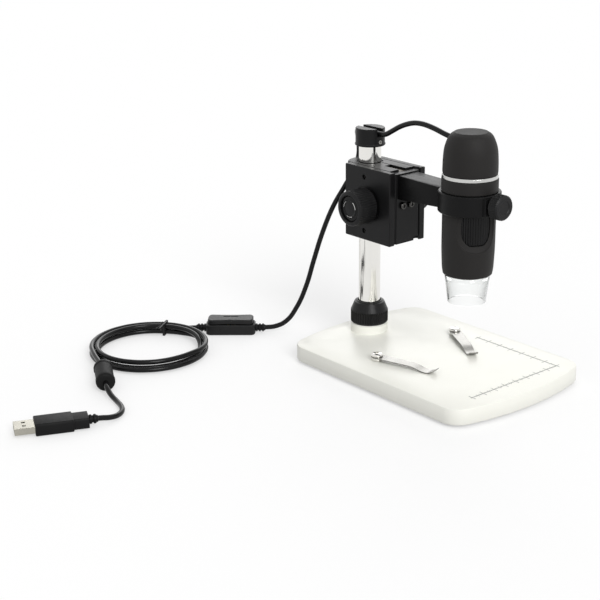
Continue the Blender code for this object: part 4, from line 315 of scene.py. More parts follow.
class Effects:
    """The shader effects that the finishes share, each a node group that is built once.

    A scale is in grains per metre, and a span is the part of a noise or a slope that goes from 0 to 1.
    """

    speck_share, patch_share = 0.35, 0.65
    speck_span, patch_span = (0.35, 0.65), (0.3, 0.7)
    least_roughness = 0.008
    edge_span, edge_samples = (0.03, 0.22), 4
    wear_scale, wear_span = 420.0, (0.38, 0.62)
    line_scale, line_span, line_mask = 45.0, (0.35, 0.65), 0.5
    dust_scale, dust_span, upward_span = 1300.0, (0.56, 0.72), (0.2, 1.0)
    path_span, pad_span, cell_wander = (0.05, 0.09), (0.16, 0.20), 0.55

    def __init__(self) -> None:
        """Build every group."""
        self.grain = self._grain()
        self.wear_and_highlight = self._wear_and_highlight()
        self.lines = self._lines()
        self.dust = self._dust()
        self.traces = self._traces()

    def _grain(self) -> Group:
        """Lay fine grain over slow patches.

        Returns:
            A group that puts out colour, roughness and height.
        """
        tree, given, result = open_group(
            "moulded_grain",
            (("Colour", COLOUR, None), ("Shade", COLOUR, None), ("Grain", NUMBER, 2000.0),
             ("Patch", NUMBER, 60.0), ("Roughness", NUMBER, 0.5), ("Spread", NUMBER, 0.1)),
            (("Colour", COLOUR), ("Roughness", NUMBER), ("Height", NUMBER)))
        place = tree.place()
        speck = tree.ramp(tree.noise(place, given["Grain"], detail=3.0), self.speck_span)
        patch = tree.ramp(tree.noise(place, given["Patch"], detail=4.0, Roughness=0.6), self.patch_span)
        share = tree.maths("MULTIPLY_ADD", speck, self.speck_share, tree.product(patch, self.patch_share))
        drift = tree.product(tree.maths("SUBTRACT", share, 0.5), given["Spread"])
        rough = tree.maths("MAXIMUM", tree.maths("ADD", given["Roughness"], drift), self.least_roughness)
        tree.give(result, Colour=tree.blend(share, given["Colour"], given["Shade"]), Roughness=rough,
                  Height=speck)
        return tree.tree

    def _wear_and_highlight(self) -> Group:
        """Rub the edges, and on the collar light up the flute ridges as a painted highlight.

        Returns:
            A group that puts out a broken mask, and the normal of a slightly rounded edge.
        """
        tree, given, result = open_group(
            "rubbed_edges_and_highlight", (("Radius", NUMBER, 0.0003), ("Amount", NUMBER, 0.4)),
            (("Mask", NUMBER), ("Normal", VECTOR)))
        rounded = tree.add("ShaderNodeBevel", {"samples": self.edge_samples},
                           Radius=given["Radius"]).outputs[0]
        flat = tree.add("ShaderNodeNewGeometry").outputs["Normal"]
        along = tree.add("ShaderNodeVectorMath", {"operation": "DOT_PRODUCT"}, _0=rounded, _1=flat)
        edge = tree.ramp(tree.maths("SUBTRACT", 1.0, along.outputs["Value"]), self.edge_span)
        gate = tree.ramp(tree.noise(tree.place(), self.wear_scale, detail=3.0), self.wear_span)
        tree.give(result, Mask=tree.product(edge, gate, given["Amount"]), Normal=rounded)
        return tree.tree

    def _lines(self) -> Group:
        """Draw fine tool lines.

        Returns:
            A group that puts out their height and mask, stretched by a vector.
        """
        tree, given, result = open_group(
            "tool_lines", (("Stretch", VECTOR, None),), (("Height", NUMBER), ("Mask", NUMBER)))
        spread = tree.add("ShaderNodeVectorMath", {"operation": "MULTIPLY"}, _0=tree.place(),
                          _1=given["Stretch"]).outputs[0]
        line = tree.ramp(tree.noise(spread, self.line_scale, detail=2.0), self.line_span)
        tree.give(result, Height=line, Mask=tree.product(line, self.line_mask))
        return tree.tree

    def _dust(self) -> Group:
        """Scatter thin dust on the faces that look up.

        Returns:
            A group that puts out its mask.
        """
        tree, given, result = open_group("settled_dust", (("Amount", NUMBER, 0.1),), (("Mask", NUMBER),))
        up = tree.add("ShaderNodeSeparateXYZ", Vector=tree.add("ShaderNodeNewGeometry").outputs["Normal"])
        gate = tree.ramp(tree.noise(tree.place(), self.dust_scale, detail=2.0), self.dust_span)
        lying = tree.ramp(up.outputs["Z"], self.upward_span)
        tree.give(result, Mask=tree.product(gate, lying, given["Amount"]))
        return tree.tree

    def _traces(self) -> Group:
        """Draw the copper paths and pads of a circuit board.

        Returns:
            A group that puts out their mask.
        """
        tree, given, result = open_group("copper_traces", (("Pitch", NUMBER, 500.0),), (("Mask", NUMBER),))
        place, masks = tree.place(), []
        for feature, span in (("DISTANCE_TO_EDGE", self.path_span), ("F1", self.pad_span)):
            cells = tree.add("ShaderNodeTexVoronoi", {"feature": feature}, Vector=place, Scale=given["Pitch"],
                             Randomness=self.cell_wander)
            masks.append(tree.ramp(cells.outputs["Distance"], span, 1.0, 0.0))
        tree.give(result, Mask=tree.maths("MAXIMUM", *masks))
        return tree.tree


class FinishShop:
    """Makes each finish's material once."""

    trace_pitch, trace_height = 520.0, 1.5
    edge_tint_power, bump_strength = 1.8, 0.8
    coat_roughness, sheen_roughness = 0.12, 0.5

    def __init__(self) -> None:
        """Build the shared effects."""
        self.effects = Effects()
        self.made: dict[Finish, bpy.types.Material] = {}

    def material(self, finish: Finish) -> bpy.types.Material:
        """Make a finish's material the first time that it is asked for.

        Args:
            finish: The finish.

        Returns:
            Its material.
        """
        if finish not in self.made:
            self.made[finish] = self._make(finish, f"{finish.slot}_{len(self.made)}")
        return self.made[finish]

    def _group(self, tree: Tree, group: Group, **sockets: Any) -> Any:
        """Return the outputs of a group node with its values set."""
        return tree.add("ShaderNodeGroup", {"node_tree": group}, **sockets).outputs

    def _make(self, finish: Finish, name: str) -> bpy.types.Material:
        """Build a Principled material from the shared effects.

        Args:
            finish: The finish.
            name: The material's name.

        Returns:
            The material.
        """
        made = bpy.data.materials.new(name)
        tree = bare_tree(made)
        grain = self._group(tree, self.effects.grain, Colour=(*finish.colour, 1.0),
                            Shade=(*finish.shade, 1.0), Grain=finish.grain, Patch=finish.patch,
                            Roughness=finish.roughness, Spread=finish.spread)
        colour, height, normal = grain["Colour"], grain["Height"], None
        if finish.traces:
            mask = self._group(tree, self.effects.traces, Pitch=self.trace_pitch)["Mask"]
            colour = tree.blend(mask, colour, COPPER)
            height = tree.maths("ADD", height, tree.product(mask, self.trace_height))
        if finish.lines is not Lines.NONE:
            lines = self._group(tree, self.effects.lines, Stretch=finish.lines.value)
            colour = tree.blend(lines["Mask"], colour, (*finish.shade, 1.0))
            height = tree.maths("ADD", height, lines["Height"])
        # Clear finishes: the colour darkens towards the edge colour at grazing angles, a painted shade
        if finish.transmission:
            facing = tree.add("ShaderNodeLayerWeight", Blend=0.5).outputs["Facing"]
            tint = tree.maths("POWER", facing, self.edge_tint_power)
            colour = tree.blend(tint, colour, (*finish.edge, 1.0))
        else:
            wear_and_highlight = self._group(tree, self.effects.wear_and_highlight, Radius=finish.edge_radius, Amount=finish.wear_and_highlight)
            dust = self._group(tree, self.effects.dust, Amount=finish.dust)
            colour = tree.blend(wear_and_highlight["Mask"], colour, (*finish.edge, 1.0))
            colour = tree.blend(dust["Mask"], colour, DUST)
            normal = wear_and_highlight["Normal"]
        bump = tree.add("ShaderNodeBump", Distance=finish.depth, Height=height, Strength=self.bump_strength)
        if normal is not None:
            tree.give(bump, Normal=normal)
        shader = tree.add("ShaderNodeBsdfPrincipled", Base_Color=colour, Roughness=grain["Roughness"],
                          Metallic=finish.metallic, IOR=finish.ior, Specular_IOR_Level=finish.specular,
                          Coat_Weight=finish.coat, Coat_Roughness=self.coat_roughness,
                          Sheen_Weight=finish.sheen, Sheen_Roughness=self.sheen_roughness,
                          Transmission_Weight=finish.transmission, Normal=bump.outputs[0])
        tree.add("ShaderNodeOutputMaterial", Surface=shader.outputs[0])
        made.diffuse_color = (*finish.colour, 1.0)
        return made


SHOP = FinishShop()


# Meshes

def soften_group() -> Group:
    """Shade a mesh smooth up to an angle.

    Returns:
        The geometry nodes that do so.
    """
    tree, given, result = open_group(
        "soften_by_angle", (("Geometry", SHAPE, None), ("Angle", NUMBER, math.radians(SOFT_DEGREES))),
        (("Geometry", SHAPE),), "GeometryNodeTree")
    angle = tree.add("GeometryNodeInputMeshEdgeAngle").outputs[0]
    soft = tree.add("FunctionNodeCompare", {"data_type": "FLOAT", "operation": "LESS_EQUAL"}, _0=angle,
                    _1=given["Angle"]).outputs[0]
    faces = tree.add("GeometryNodeSetShadeSmooth", {"domain": "FACE"}, _0=given["Geometry"]).outputs[0]
    edges = tree.add("GeometryNodeSetShadeSmooth", {"domain": "EDGE"}, _0=faces, Shade_Smooth=soft)
    tree.give(result, Geometry=edges.outputs[0])
    return tree.tree


def tube_group() -> Group:
    """Turn a line of points into a round cord of one thickness.

    Returns:
        The geometry nodes that do so.
    """
    tree, given, result = open_group(
        "round_cord",
        (("Geometry", SHAPE, None), ("Radius", NUMBER, 0.001), ("Material", SUBSTANCE, None)),
        (("Geometry", SHAPE),), "GeometryNodeTree")
    line = tree.add("GeometryNodeMeshToCurve", _0=given["Geometry"]).outputs[0]
    ring = tree.add("GeometryNodeCurvePrimitiveCircle", Resolution=CORD_STEPS,
                    Radius=given["Radius"]).outputs[0]
    tube = tree.add("GeometryNodeCurveToMesh", Curve=line, Profile_Curve=ring, Fill_Caps=True).outputs[0]
    smooth = tree.add("GeometryNodeSetShadeSmooth", _0=tube).outputs[0]
    dressed = tree.add("GeometryNodeSetMaterial", _0=smooth, Material=given["Material"]).outputs[0]
    tree.give(result, Geometry=dressed)
    return tree.tree


SOFTEN = soften_group()
ROUND_CORD = tube_group()


def link_object(name: str, data: Any) -> Piece:
    """Put some data into the scene.

    Args:
        name: The object's name.
        data: What it shows.

    Returns:
        The object.
    """
    obj = bpy.data.objects.new(name, data)
    bpy.context.scene.collection.objects.link(obj)
    return obj


def set_group(obj: Piece, name: str, group: Group, **values: Any) -> None:
    """Add a geometry nodes modifier and set its inputs.

    Args:
        obj: The object.
        name: The modifier's name.
        group: The node group.
        **values: The group's inputs by name.
    """
    modifier = obj.modifiers.new(name, "NODES")
    modifier.node_group = group
    for item in group.interface.items_tree:
        if item.in_out == "INPUT" and item.name in values:
            modifier[item.identifier] = values[item.name]


def dress_node(node: str, finish: Finish | None = None, degrees: float = SOFT_DEGREES) -> None:
    """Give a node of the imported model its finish, join its loose faces and shade it softly.

    Args:
        node: The node's name.
        finish: The finish, or None for the one that its slot names.
        degrees: The largest angle that still looks round.
    """
    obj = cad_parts[node]
    for slot in obj.material_slots:
        plain = slot.material.name.split(".")[0]
        slot.material = SHOP.material(finish or FINISHES[plain])
    obj.modifiers.new("weld", "WELD").merge_threshold = WELD_REACH
    set_group(obj, "soften", SOFTEN, Angle=math.radians(degrees))
    LOG.info("node %s dressed", node)


def clean_faces(mesh: bpy.types.Mesh, degrees: float) -> None:
    """Drop faces without area, turn the others outwards and keep the edges above an angle sharp.

    Args:
        mesh: The mesh.
        degrees: The largest angle that still looks round.
    """
    work = bmesh.new()
    work.from_mesh(mesh)
    bmesh.ops.dissolve_degenerate(work, edges=work.edges, dist=LEAST_EDGE)
    bmesh.ops.recalc_face_normals(work, faces=work.faces)
    work.to_mesh(mesh)
    work.free()
    mesh.polygons.foreach_set("use_smooth", [True] * len(mesh.polygons))
    mesh.set_sharp_from_angle(angle=math.radians(degrees))
    mesh.update()


def mesh_piece(name: str, points: Rows, faces: Sequence[Sequence[int]], finish: Finish,
               degrees: float = SOFT_DEGREES) -> Piece:
    """Make a piece from points and faces.

    Args:
        name: The piece's name.
        points: Its corner points.
        faces: Its faces, as places in points.
        finish: Its finish.
        degrees: The largest angle that still looks round.

    Returns:
        The piece, linked to the scene.
    """
    mesh = bpy.data.meshes.new(name)
    mesh.from_pydata([tuple(point) for point in points], [], [tuple(face) for face in faces])
    clean_faces(mesh, degrees)
    mesh.materials.append(SHOP.material(finish))
    return link_object(name, mesh)


def ring_faces(rows: int, steps: int, first: int = 0, closed: bool = False,
               capped: bool = False) -> list[tuple[int, ...]]:
    """Return the faces between rings of points.

    Args:
        rows: How many rings there are.
        steps: Points in each ring.
        first: Place of the first point.
        closed: The last ring joins the first.
        capped: The first and the last ring are filled.

    Returns:
        The faces, as places of points.
    """
    faces = []
    for a in range(rows if closed else rows - 1):
        b = (a + 1) % rows
        for i in range(steps):
            j = (i + 1) % steps
            corners = (a * steps + i, a * steps + j, b * steps + j, b * steps + i)
            faces.append(tuple(first + corner for corner in corners))
    if capped:
        last = first + (rows - 1) * steps
        faces.append(tuple(range(first, first + steps))[::-1])
        faces.append(tuple(range(last, last + steps)))
    return faces


def settle(obj: Piece, finish: Finish, body: str, *nodes: str) -> Piece:
    """Let a piece ride on a body and the nodes that it stands for.

    Args:
        obj: The piece, in place.
        finish: Not used.
        body: The body that it rides on.
        *nodes: The nodes that it replaces.

    Returns:
        The piece.
    """
    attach(obj, body)
    if nodes:
        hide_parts(*nodes)
    LOG.info("piece %s on %s", obj.name, body)
    return obj


@dataclass
class Turned:
    """A part that is turned on a lathe and may carry flutes.

    Attributes:
        name: The piece's name.
        profile: Radius, height and flute share of each ring, from one end to the other.
        finish: Its finish.
        centre: Where its own origin lies.
        axis: The way that its own Z points.
        flutes: How many flutes it has, and depth is how deep they are.
        sharp: Below 1 the ribs between them are narrow, and above 1 they are broad.
        closed: The last ring joins the first, as in a tube.
        degrees: The largest angle that still looks round.
    """

    name: str
    profile: Rows
    finish: Finish
    centre: Point = (0.0, 0.0, 0.0)
    axis: Axis = Axis.UP
    flutes: int = 0
    depth: float = 0.0
    sharp: float = 1.0
    closed: bool = False
    degrees: float = 32.0

    def place(self) -> Matrix:
        """Return the turn and shift from the part's own axes to the frame's."""
        return Matrix.Translation(self.centre) @ Euler(self.axis.value).to_matrix().to_4x4()

    def build(self) -> Piece:
        """Turn the part.

        Returns:
            The part in place.
        """
        steps = self.flutes * FLUTE_STEPS if self.flutes else ROUND_STEPS
        place, points = self.place(), []
        for row in self.profile:
            radius, height, share = (*row, 0.0)[:3]
            for i in range(steps):
                angle = 2 * math.pi * i / steps
                wave = (0.5 - 0.5 * math.cos(self.flutes * angle)) ** self.sharp if self.flutes else 0.0
                reach = radius - self.depth * share * wave
                points.append(place @ Vector((reach * math.cos(angle), reach * math.sin(angle), height)))
        faces = ring_faces(len(self.profile), steps, closed=self.closed, capped=not self.closed)
        return mesh_piece(self.name, points, faces, self.finish, self.degrees)

    def put(self, body: str, *nodes: str) -> Piece:
        """Build the part and settle it.

        Args:
            body: The body that it rides on.
            *nodes: The nodes that it replaces.

        Returns:
            The part.
        """
        return settle(self.build(), self.finish, body, *nodes)


def smooth_through(points: Rows, per: int = 6) -> list[Vector]:
    """Return a finer list of points on a smooth line through the given ones.

    Args:
        points: The points that the line passes.
        per: Steps between two of them.

    Returns:
        The finer points, with both ends.
    """
    ends = [2 * Vector(points[0]) - Vector(points[1])] + [Vector(p) for p in points]
    ends.append(2 * Vector(points[-1]) - Vector(points[-2]))
    fine = []
    for before, start, end, after in zip(ends, ends[1:], ends[2:], ends[3:]):
        for i in range(per):
            t = i / per
            fine.append(0.5 * (2 * start + (end - before) * t
                               + (2 * before - 5 * start + 4 * end - after) * t * t
                               + (3 * start - before - 3 * end + after) * t ** 3))
    return fine + [Vector(points[-1])]


def ease(value: float, span: Sequence[float]) -> float:
    """Step smoothly from 0 to 1 over a span.

    Args:
        value: Where the step is read.
        span: Where it starts and ends.

    Returns:
        Its height there.
    """
    start, end = span
    t = min(max((value - start) / (end - start), 0.0), 1.0)
    return t * t * (3 - 2 * t)


def line_length(points: Sequence[Vector]) -> float:
    """Return the length of a line through points."""
    return sum((b - a).length for a, b in zip(points, points[1:]))


def rings(radius: float, height: float, *steps: Sequence[float]) -> list[tuple[float, ...]]:
    """Return rings at steps out and up from a radius and a height, with their flute shares."""
    return [(radius + out, height + up, *share) for out, up, *share in steps]


def beside_post(points: Iterable[Sequence[float]]) -> list[Point]:
    """Return points given from the post's axis as points of the frame."""
    return [(x + POST_X, y, z) for x, y, z in points]


# Camera, floor and light

@dataclass
class Picture:
    """The camera, at the photograph's place, and the white studio round the object.

    Attributes:
        floor_glow: What the floor adds in the camera's view and in reflections.
        sky: Strength of the light from all sides.
        lamps: Name, direction, strength and spread in degrees of each lamp.
    """

    eye: Point = (0.5960, -0.6086, 0.3449)
    azimuth: float = math.radians(50.44)
    elevation: float = math.radians(19.07)
    roll: float = math.radians(-0.74)
    lens: float = 80.73
    sensor_width: float = 36.0
    clip: Pair = (0.02, 60.0)
    floor_half: float = 14.0
    floor_albedo: float = 0.50
    floor_glow: float = 0.485
    sky: float = 0.64
    lamps: Sequence[tuple[str, Point, float, float]] = (
        ("key", (-0.80, 0.25, -0.55), 1.85, 30.0), ("back", (0.64, -0.65, -0.42), 0.50, 35.0))

    def place_camera(self) -> None:
        """Create the camera and make it the scene's."""
        ca, sa = math.cos(self.azimuth), math.sin(self.azimuth)
        ce, se = math.cos(self.elevation), math.sin(self.elevation)
        back = Vector((sa * ce, -ca * ce, se))
        right = Vector((ca, sa, 0.0))
        up = back.cross(right)
        turned_right = right * math.cos(self.roll) + up * math.sin(self.roll)
        turned_up = up * math.cos(self.roll) - right * math.sin(self.roll)
        data = bpy.data.cameras.new("picture_camera")
        data.lens, data.sensor_width, data.sensor_fit = self.lens, self.sensor_width, "HORIZONTAL"
        data.clip_start, data.clip_end = self.clip
        camera = link_object("picture_camera", data)
        turn = Matrix((turned_right, turned_up, back)).transposed()
        camera.matrix_world = Matrix.Translation(self.eye) @ turn.to_4x4()
        bpy.context.scene.camera = camera

    def _seen(self, tree: Tree) -> Socket:
        """Find what the camera and clear or glossy surfaces see.

        Args:
            tree: The node tree that asks.

        Returns:
            1 for camera, glossy and transmission rays.
        """
        path = tree.add("ShaderNodeLightPath").outputs
        return tree.maths("MAXIMUM", path["Is Camera Ray"],
                          tree.maths("MAXIMUM", path["Is Glossy Ray"], path["Is Transmission Ray"]))

    def lay_floor(self) -> None:
        """Lay the pale floor, which keeps the object's shadow."""
        half = self.floor_half
        mesh = bpy.data.meshes.new("floor")
        mesh.from_pydata([(-half, -half, 0), (half, -half, 0), (half, half, 0), (-half, half, 0)], [],
                         [(0, 1, 2, 3)])
        floor = link_object("floor", mesh)
        made = bpy.data.materials.new("pale_floor")
        tree = bare_tree(made)
        diffuse = tree.add("ShaderNodeBsdfDiffuse", Color=(*grey(self.floor_albedo), 1.0))
        glow = tree.add("ShaderNodeEmission", Color=WHITE,
                        Strength=tree.product(self._seen(tree), self.floor_glow))
        both = tree.add("ShaderNodeAddShader", _0=diffuse.outputs[0], _1=glow.outputs[0])
        tree.add("ShaderNodeOutputMaterial", Surface=both.outputs[0])
        mesh.materials.append(made)

    def light(self) -> None:
        """Light the object softly from all sides, with a broad key and a broad light from behind."""
        world = bpy.data.worlds.new("studio")
        bpy.context.scene.world = world
        tree = bare_tree(world)
        seen = tree.add("ShaderNodeBackground", Color=WHITE, Strength=1.0)
        soft = tree.add("ShaderNodeBackground", Color=WHITE, Strength=self.sky)
        mix = tree.add("ShaderNodeMixShader", _0=self._seen(tree), _1=soft.outputs[0], _2=seen.outputs[0])
        tree.add("ShaderNodeOutputWorld", Surface=mix.outputs[0])
        for name, towards, strength, spread in self.lamps:
            lamp = bpy.data.lights.new(name, "SUN")
            lamp.energy, lamp.angle = strength, math.radians(spread)
            holder = link_object(name, lamp)
            holder.rotation_euler = Vector(towards).to_track_quat("-Z", "Y").to_euler()
            holder.location = (0.0, 0.0, 1.0)
        bpy.context.scene.view_settings.view_transform = "Standard"

    def build(self) -> None:
        """Place the camera, the floor and the lights."""
        self.place_camera()
        self.lay_floor()
        self.light()


# Cord and what is on it

@dataclass
class TieTails:
    """The two tails of the wire tie, twisted together and lying on the coil.

    Attributes:
        heading: Where they point from the coil's middle, in degrees.
        winds: Turns of their twist, and haste is how early they are done.
        free: The share of their length from which they part.
    """

    coil_centre: Pair
    heading: float = 128.0
    sides: int = 8
    rows: int = 26
    thickness: float = 0.00045
    root: float = 0.0378
    run: float = 0.0128
    offset: float = 0.0012
    height: float = 0.0092
    lift: float = 0.0005
    fall: float = 0.0012
    winds: float = 2.2
    haste: float = 1.6
    gap: float = 0.0006
    widening: float = 0.0026
    free: float = 0.6
    parting: float = 0.004

    def _tail(self, tail: int, lean: float) -> list[Vector]:
        """Return the points of one tail.

        Args:
            tail: 0 for the first tail and 1 for the second.
            lean: The side that its end leans to, 1 or -1.

        Returns:
            Its points, ring after ring.
        """
        turn, up = math.radians(self.heading), Vector((0.0, 0.0, 1.0))
        centre = Vector((self.coil_centre[0] + POST_X, self.coil_centre[1], 0.0))
        out = Vector((math.cos(turn), math.sin(turn), 0.0))
        side = Vector((-math.sin(turn), math.cos(turn), 0.0))
        points = []
        for i in range(self.rows):
            t = i / (self.rows - 1)
            loose = max(t - self.free, 0.0)
            wind = 2 * math.pi * self.winds * min(t * self.haste, 1.0) + math.pi * tail
            apart = self.gap + self.widening * loose
            spot = (centre + out * (self.root - self.run * t) + side * (self.offset + apart * math.cos(wind))
                    + side * lean * self.parting * loose)
            spot.z = self.height + self.lift * math.sin(wind) - self.fall * t
            for k in range(self.sides):
                angle = 2 * math.pi * k / self.sides
                points.append(spot + self.thickness * (side * math.cos(angle) + up * math.sin(angle)))
        return points

    def build(self) -> Piece:
        """Make both tails.

        Returns:
            One piece on the base.
        """
        points, faces = [], []
        for tail, lean in enumerate((1.0, -1.0)):
            faces += ring_faces(self.rows, self.sides, len(points), capped=True)
            points += self._tail(tail, lean)
        finish = FINISHES["black_plastic"]
        return settle(mesh_piece("tie_tails", points, faces, finish, degrees=50.0), finish, "base")


@dataclass
class Cord:
    """The cord from the post cap through the dimmer box, the coil and the ferrite bead to the plug.

    Attributes:
        coil_centre: The coil's middle. It and all points are given from the post's axis.
        turns_in: Angles of the coil between which the cord goes in, turns_up climbs, turns_out comes out.
        drop: The way from the cap to the dimmer box.
        coil_lead: The way on to the coil, bead_lead to the ferrite bead, and plug_lead to the plug.
        arch_joints: Where each stretch of the arch would start to bend, which nothing reads, where it ends,
        and its first and last body.
        apart: The least distance of a stretch's points from its ends.
    """

    radius: float = 0.00175
    bend_steps: int = 6
    round_steps: int = 5
    coil_centre: Pair = (-0.0930, -0.1255)
    coil_radii: Pair = (0.04005, 0.03605)
    coil_heights: Pair = (0.00285, 0.00685)
    coil_angles: Pair = (128.0, 1330.7)
    coil_step: float = 18.0
    turns_in: Pair = (445.0, 485.0)
    turns_up: Pair = (765.0, 805.0)
    turns_out: Pair = (1085.0, 1125.0)
    slot: Sequence[Point] = (
        (-0.0118, 0.0007, 0.1543), (-0.0060, 0.0, 0.15475), (0.0030, 0.0, 0.15475), (0.0118, 0.0, 0.1548))
    drop: Sequence[Point] = (
        (-0.0118, 0.0007, 0.1543), (-0.0165, 0.0032, 0.1523), (-0.0195, 0.0064, 0.1483),
        (-0.0208, 0.0085, 0.1420), (-0.0214, 0.0087, 0.1330), (-0.0232, 0.0058, 0.1230),
        (-0.0262, 0.0002, 0.1120), (-0.0307, -0.0065, 0.0980), (-0.0360, -0.0120, 0.0790),
        (-0.0412, -0.0160, 0.0580), (-0.0464, -0.0195, 0.0370), (-0.0525, -0.0235, 0.0205),
        (-0.0589, -0.0282, 0.0095), (-0.0648, -0.0333, 0.0052), (-0.0706, -0.0397, 0.0042))
    coil_lead: Sequence[Point] = (
        (-0.1026, -0.0761, 0.0042), (-0.1068, -0.0810, 0.0039), (-0.1099, -0.0848, 0.0034))
    bead_lead: Sequence[Point] = (
        (-0.0889, -0.1693, 0.0063), (-0.0850, -0.1704, 0.0063), (-0.0810, -0.1716, 0.0065),
        (-0.07716, -0.17335, 0.0068))
    plug_lead: Sequence[Point] = (
        (-0.0640, -0.1804, 0.0068), (-0.0510, -0.1874, 0.0068), (-0.0455, -0.1899, 0.0060),
        (-0.0390, -0.1914, 0.0038), (-0.0310, -0.1922, 0.0022), (-0.0222, -0.1944, 0.0021),
        (-0.0155, -0.1978, 0.0021), (-0.0112, -0.2031, 0.0022), (-0.0093, -0.2095, 0.0030),
        (-0.01066, -0.21775, 0.0043), (-0.0120, -0.2212, 0.0043))
    arch: Sequence[Point] = (
        (0.0160, 0.0, 0.1556), (0.0211, 0.0, 0.1583), (0.0286, 0.0, 0.1624), (0.0361, 0.0, 0.1654),
        (0.0435, 0.0, 0.1672), (0.0518, 0.0, 0.1674), (0.0609, 0.0, 0.1661), (0.0690, 0.0, 0.1643),
        (0.0755, 0.0, 0.1631))
    arch_steps: int = 8
    arch_joints: Sequence[tuple[float, float, str, str]] = (
        (0.0118, 0.0250, "base", "sleeve"), (0.0250, 0.0400, "sleeve", "focus_block"),
        (0.0400, 0.0560, "focus_block", "carriage"), (0.0560, 0.0755, "carriage", "scope"))
    apart: float = 0.0002
    nodes: Sequence[str] = ("front_relief", "rear_relief", "ferrite_bead", "dimmer_tray", "dimmer_cover",
                            "dimmer_board", "dimmer_wheel", "cord_tie")

    def coil(self) -> list[Point]:
        """Wind the coil: out and low, in and low, in and high, out and high.

        Returns:
            The points that it passes.
        """
        start, end = self.coil_angles
        count = round((end - start) / self.coil_step)
        outer, inner = self.coil_radii
        low, high = self.coil_heights
        points = []
        for i in range(count + 1):
            angle = start + (end - start) * i / count
            radius = outer + (inner - outer) * (ease(angle, self.turns_in) - ease(angle, self.turns_out))
            height = low + (high - low) * ease(angle, self.turns_up)
            turn = math.radians(angle)
            points.append((self.coil_centre[0] + radius * math.cos(turn),
                           self.coil_centre[1] + radius * math.sin(turn), height))
        return points

    def _curve(self, name: str, points: Sequence[Point]) -> Piece:
        """Lay a round cord along points, as a curve of one open spline.

        Args:
            name: The stretch's name.
            points: The points that it passes.

        Returns:
            The cord.
        """
        data = bpy.data.curves.new(name, "CURVE")
        data.dimensions = "3D"
        data.resolution_u = self.bend_steps
        data.bevel_depth = self.radius
        data.bevel_resolution = self.round_steps
        data.use_fill_caps = True
        spline = data.splines.new("BEZIER")
        spline.bezier_points.add(len(points) - 1)
        for point, place in zip(spline.bezier_points, beside_post(points)):
            point.co = place
            point.handle_left_type = point.handle_right_type = "AUTO"
        data.materials.append(SHOP.material(FINISHES["black_rubber"]))
        return link_object(name, data)

    def _upper(self) -> None:
        """Make the stretch from the cap down to the dimmer box."""
        points = list(self.drop)
        cord = settle(self._curve("cord_upper", points), FINISHES["black_rubber"], "base", "cord_drop")
        length = line_length(smooth_through(points))
        LOG.info("cord_upper is %.3f m long", length)

    def _lower(self, ties: Sequence[Piece]) -> None:
        """Make the stretch from the dimmer box through the coil and the bead to the plug.

        Args:
            ties: Not used.
        """
        points = [*self.coil_lead, *self.coil(), *self.bead_lead, *self.plug_lead]
        cord = settle(self._curve("cord_lower", points), FINISHES["black_rubber"], "base", "cord_coil_lead",
                      "cord_coil", "cord_bead_lead", "cord_plug_lead")
        length = line_length(smooth_through(points))
        LOG.info("cord_lower is %.3f m long", length)

    def _stretch(self, path: Sequence[Vector], before: str, after: str) -> Piece:
        """Make a stretch of the arch across one joint.

        Args:
            path: The points that it follows.
            before: The body at its start, which names the stretch.
            after: The body at its end, which names the stretch.

        Returns:
            The stretch, a line of points that its modifier makes round.
        """
        mesh = bpy.data.meshes.new(f"cord_{before}_to_{after}")
        mesh.from_pydata([tuple(p) for p in path], [(i, i + 1) for i in range(len(path) - 1)], [])
        cord = link_object(mesh.name, mesh)
        finish = FINISHES["black_rubber"]
        set_group(cord, "round_cord", ROUND_CORD, Radius=self.radius, Material=SHOP.material(finish))
        if "carriage" in (before, after):
            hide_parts("cord_arch")
        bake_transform(cord)
        LOG.info("piece %s is %.4f m long", cord.name, line_length(path))
        return cord

    def _arch(self) -> None:
        """Make the run from the cap's slot to the microscope's head, one stretch for each joint."""
        path = smooth_through(beside_post([*self.slot, *self.arch]), self.arch_steps)
        start, stretches = path[0].x, []
        for bend, last, before, after in self.arch_joints:
            end = POST_X + last
            between = [p for p in path if start + self.apart < p.x < end - self.apart]
            points = [self._at(path, start), *between, self._at(path, end)]
            stretches.append((self._stretch(points, before, after), points))
            start = end
        (first, points), *others = stretches

    def _at(self, path: Sequence[Vector], x: float) -> Vector:
        """Find the point of a path at a place along X.

        Args:
            path: The path's points.
            x: The place.

        Returns:
            The point, or the path's nearer end.
        """
        for a, b in zip(path, path[1:]):
            if a.x <= x <= b.x:
                return a.lerp(b, (x - a.x) / (b.x - a.x))
        return path[0] if x < path[0].x else path[-1]

    def build(self) -> None:
        """Make every stretch and dress what they carry."""
        for node in self.nodes:
            dress_node(node, BEAD_BLACK if node == "ferrite_bead" else None)
        self._upper()
        self._lower([TieTails(self.coil_centre).build()])
        self._arch()


@dataclass
class Plug:
    """The moulded plug: each node with its finish, or None for its slot's own."""

    nodes: Sequence[tuple[str, Finish | None]] = (
        ("usb_overmould", PLUG_BLACK), ("usb_shell", SHELL_STEEL), ("usb_tongue", None))
    degrees: float = 40.0

    def build(self) -> None:
        """Dress the plug."""
        for node, finish in self.nodes:
            dress_node(node, finish, self.degrees)


# Stand

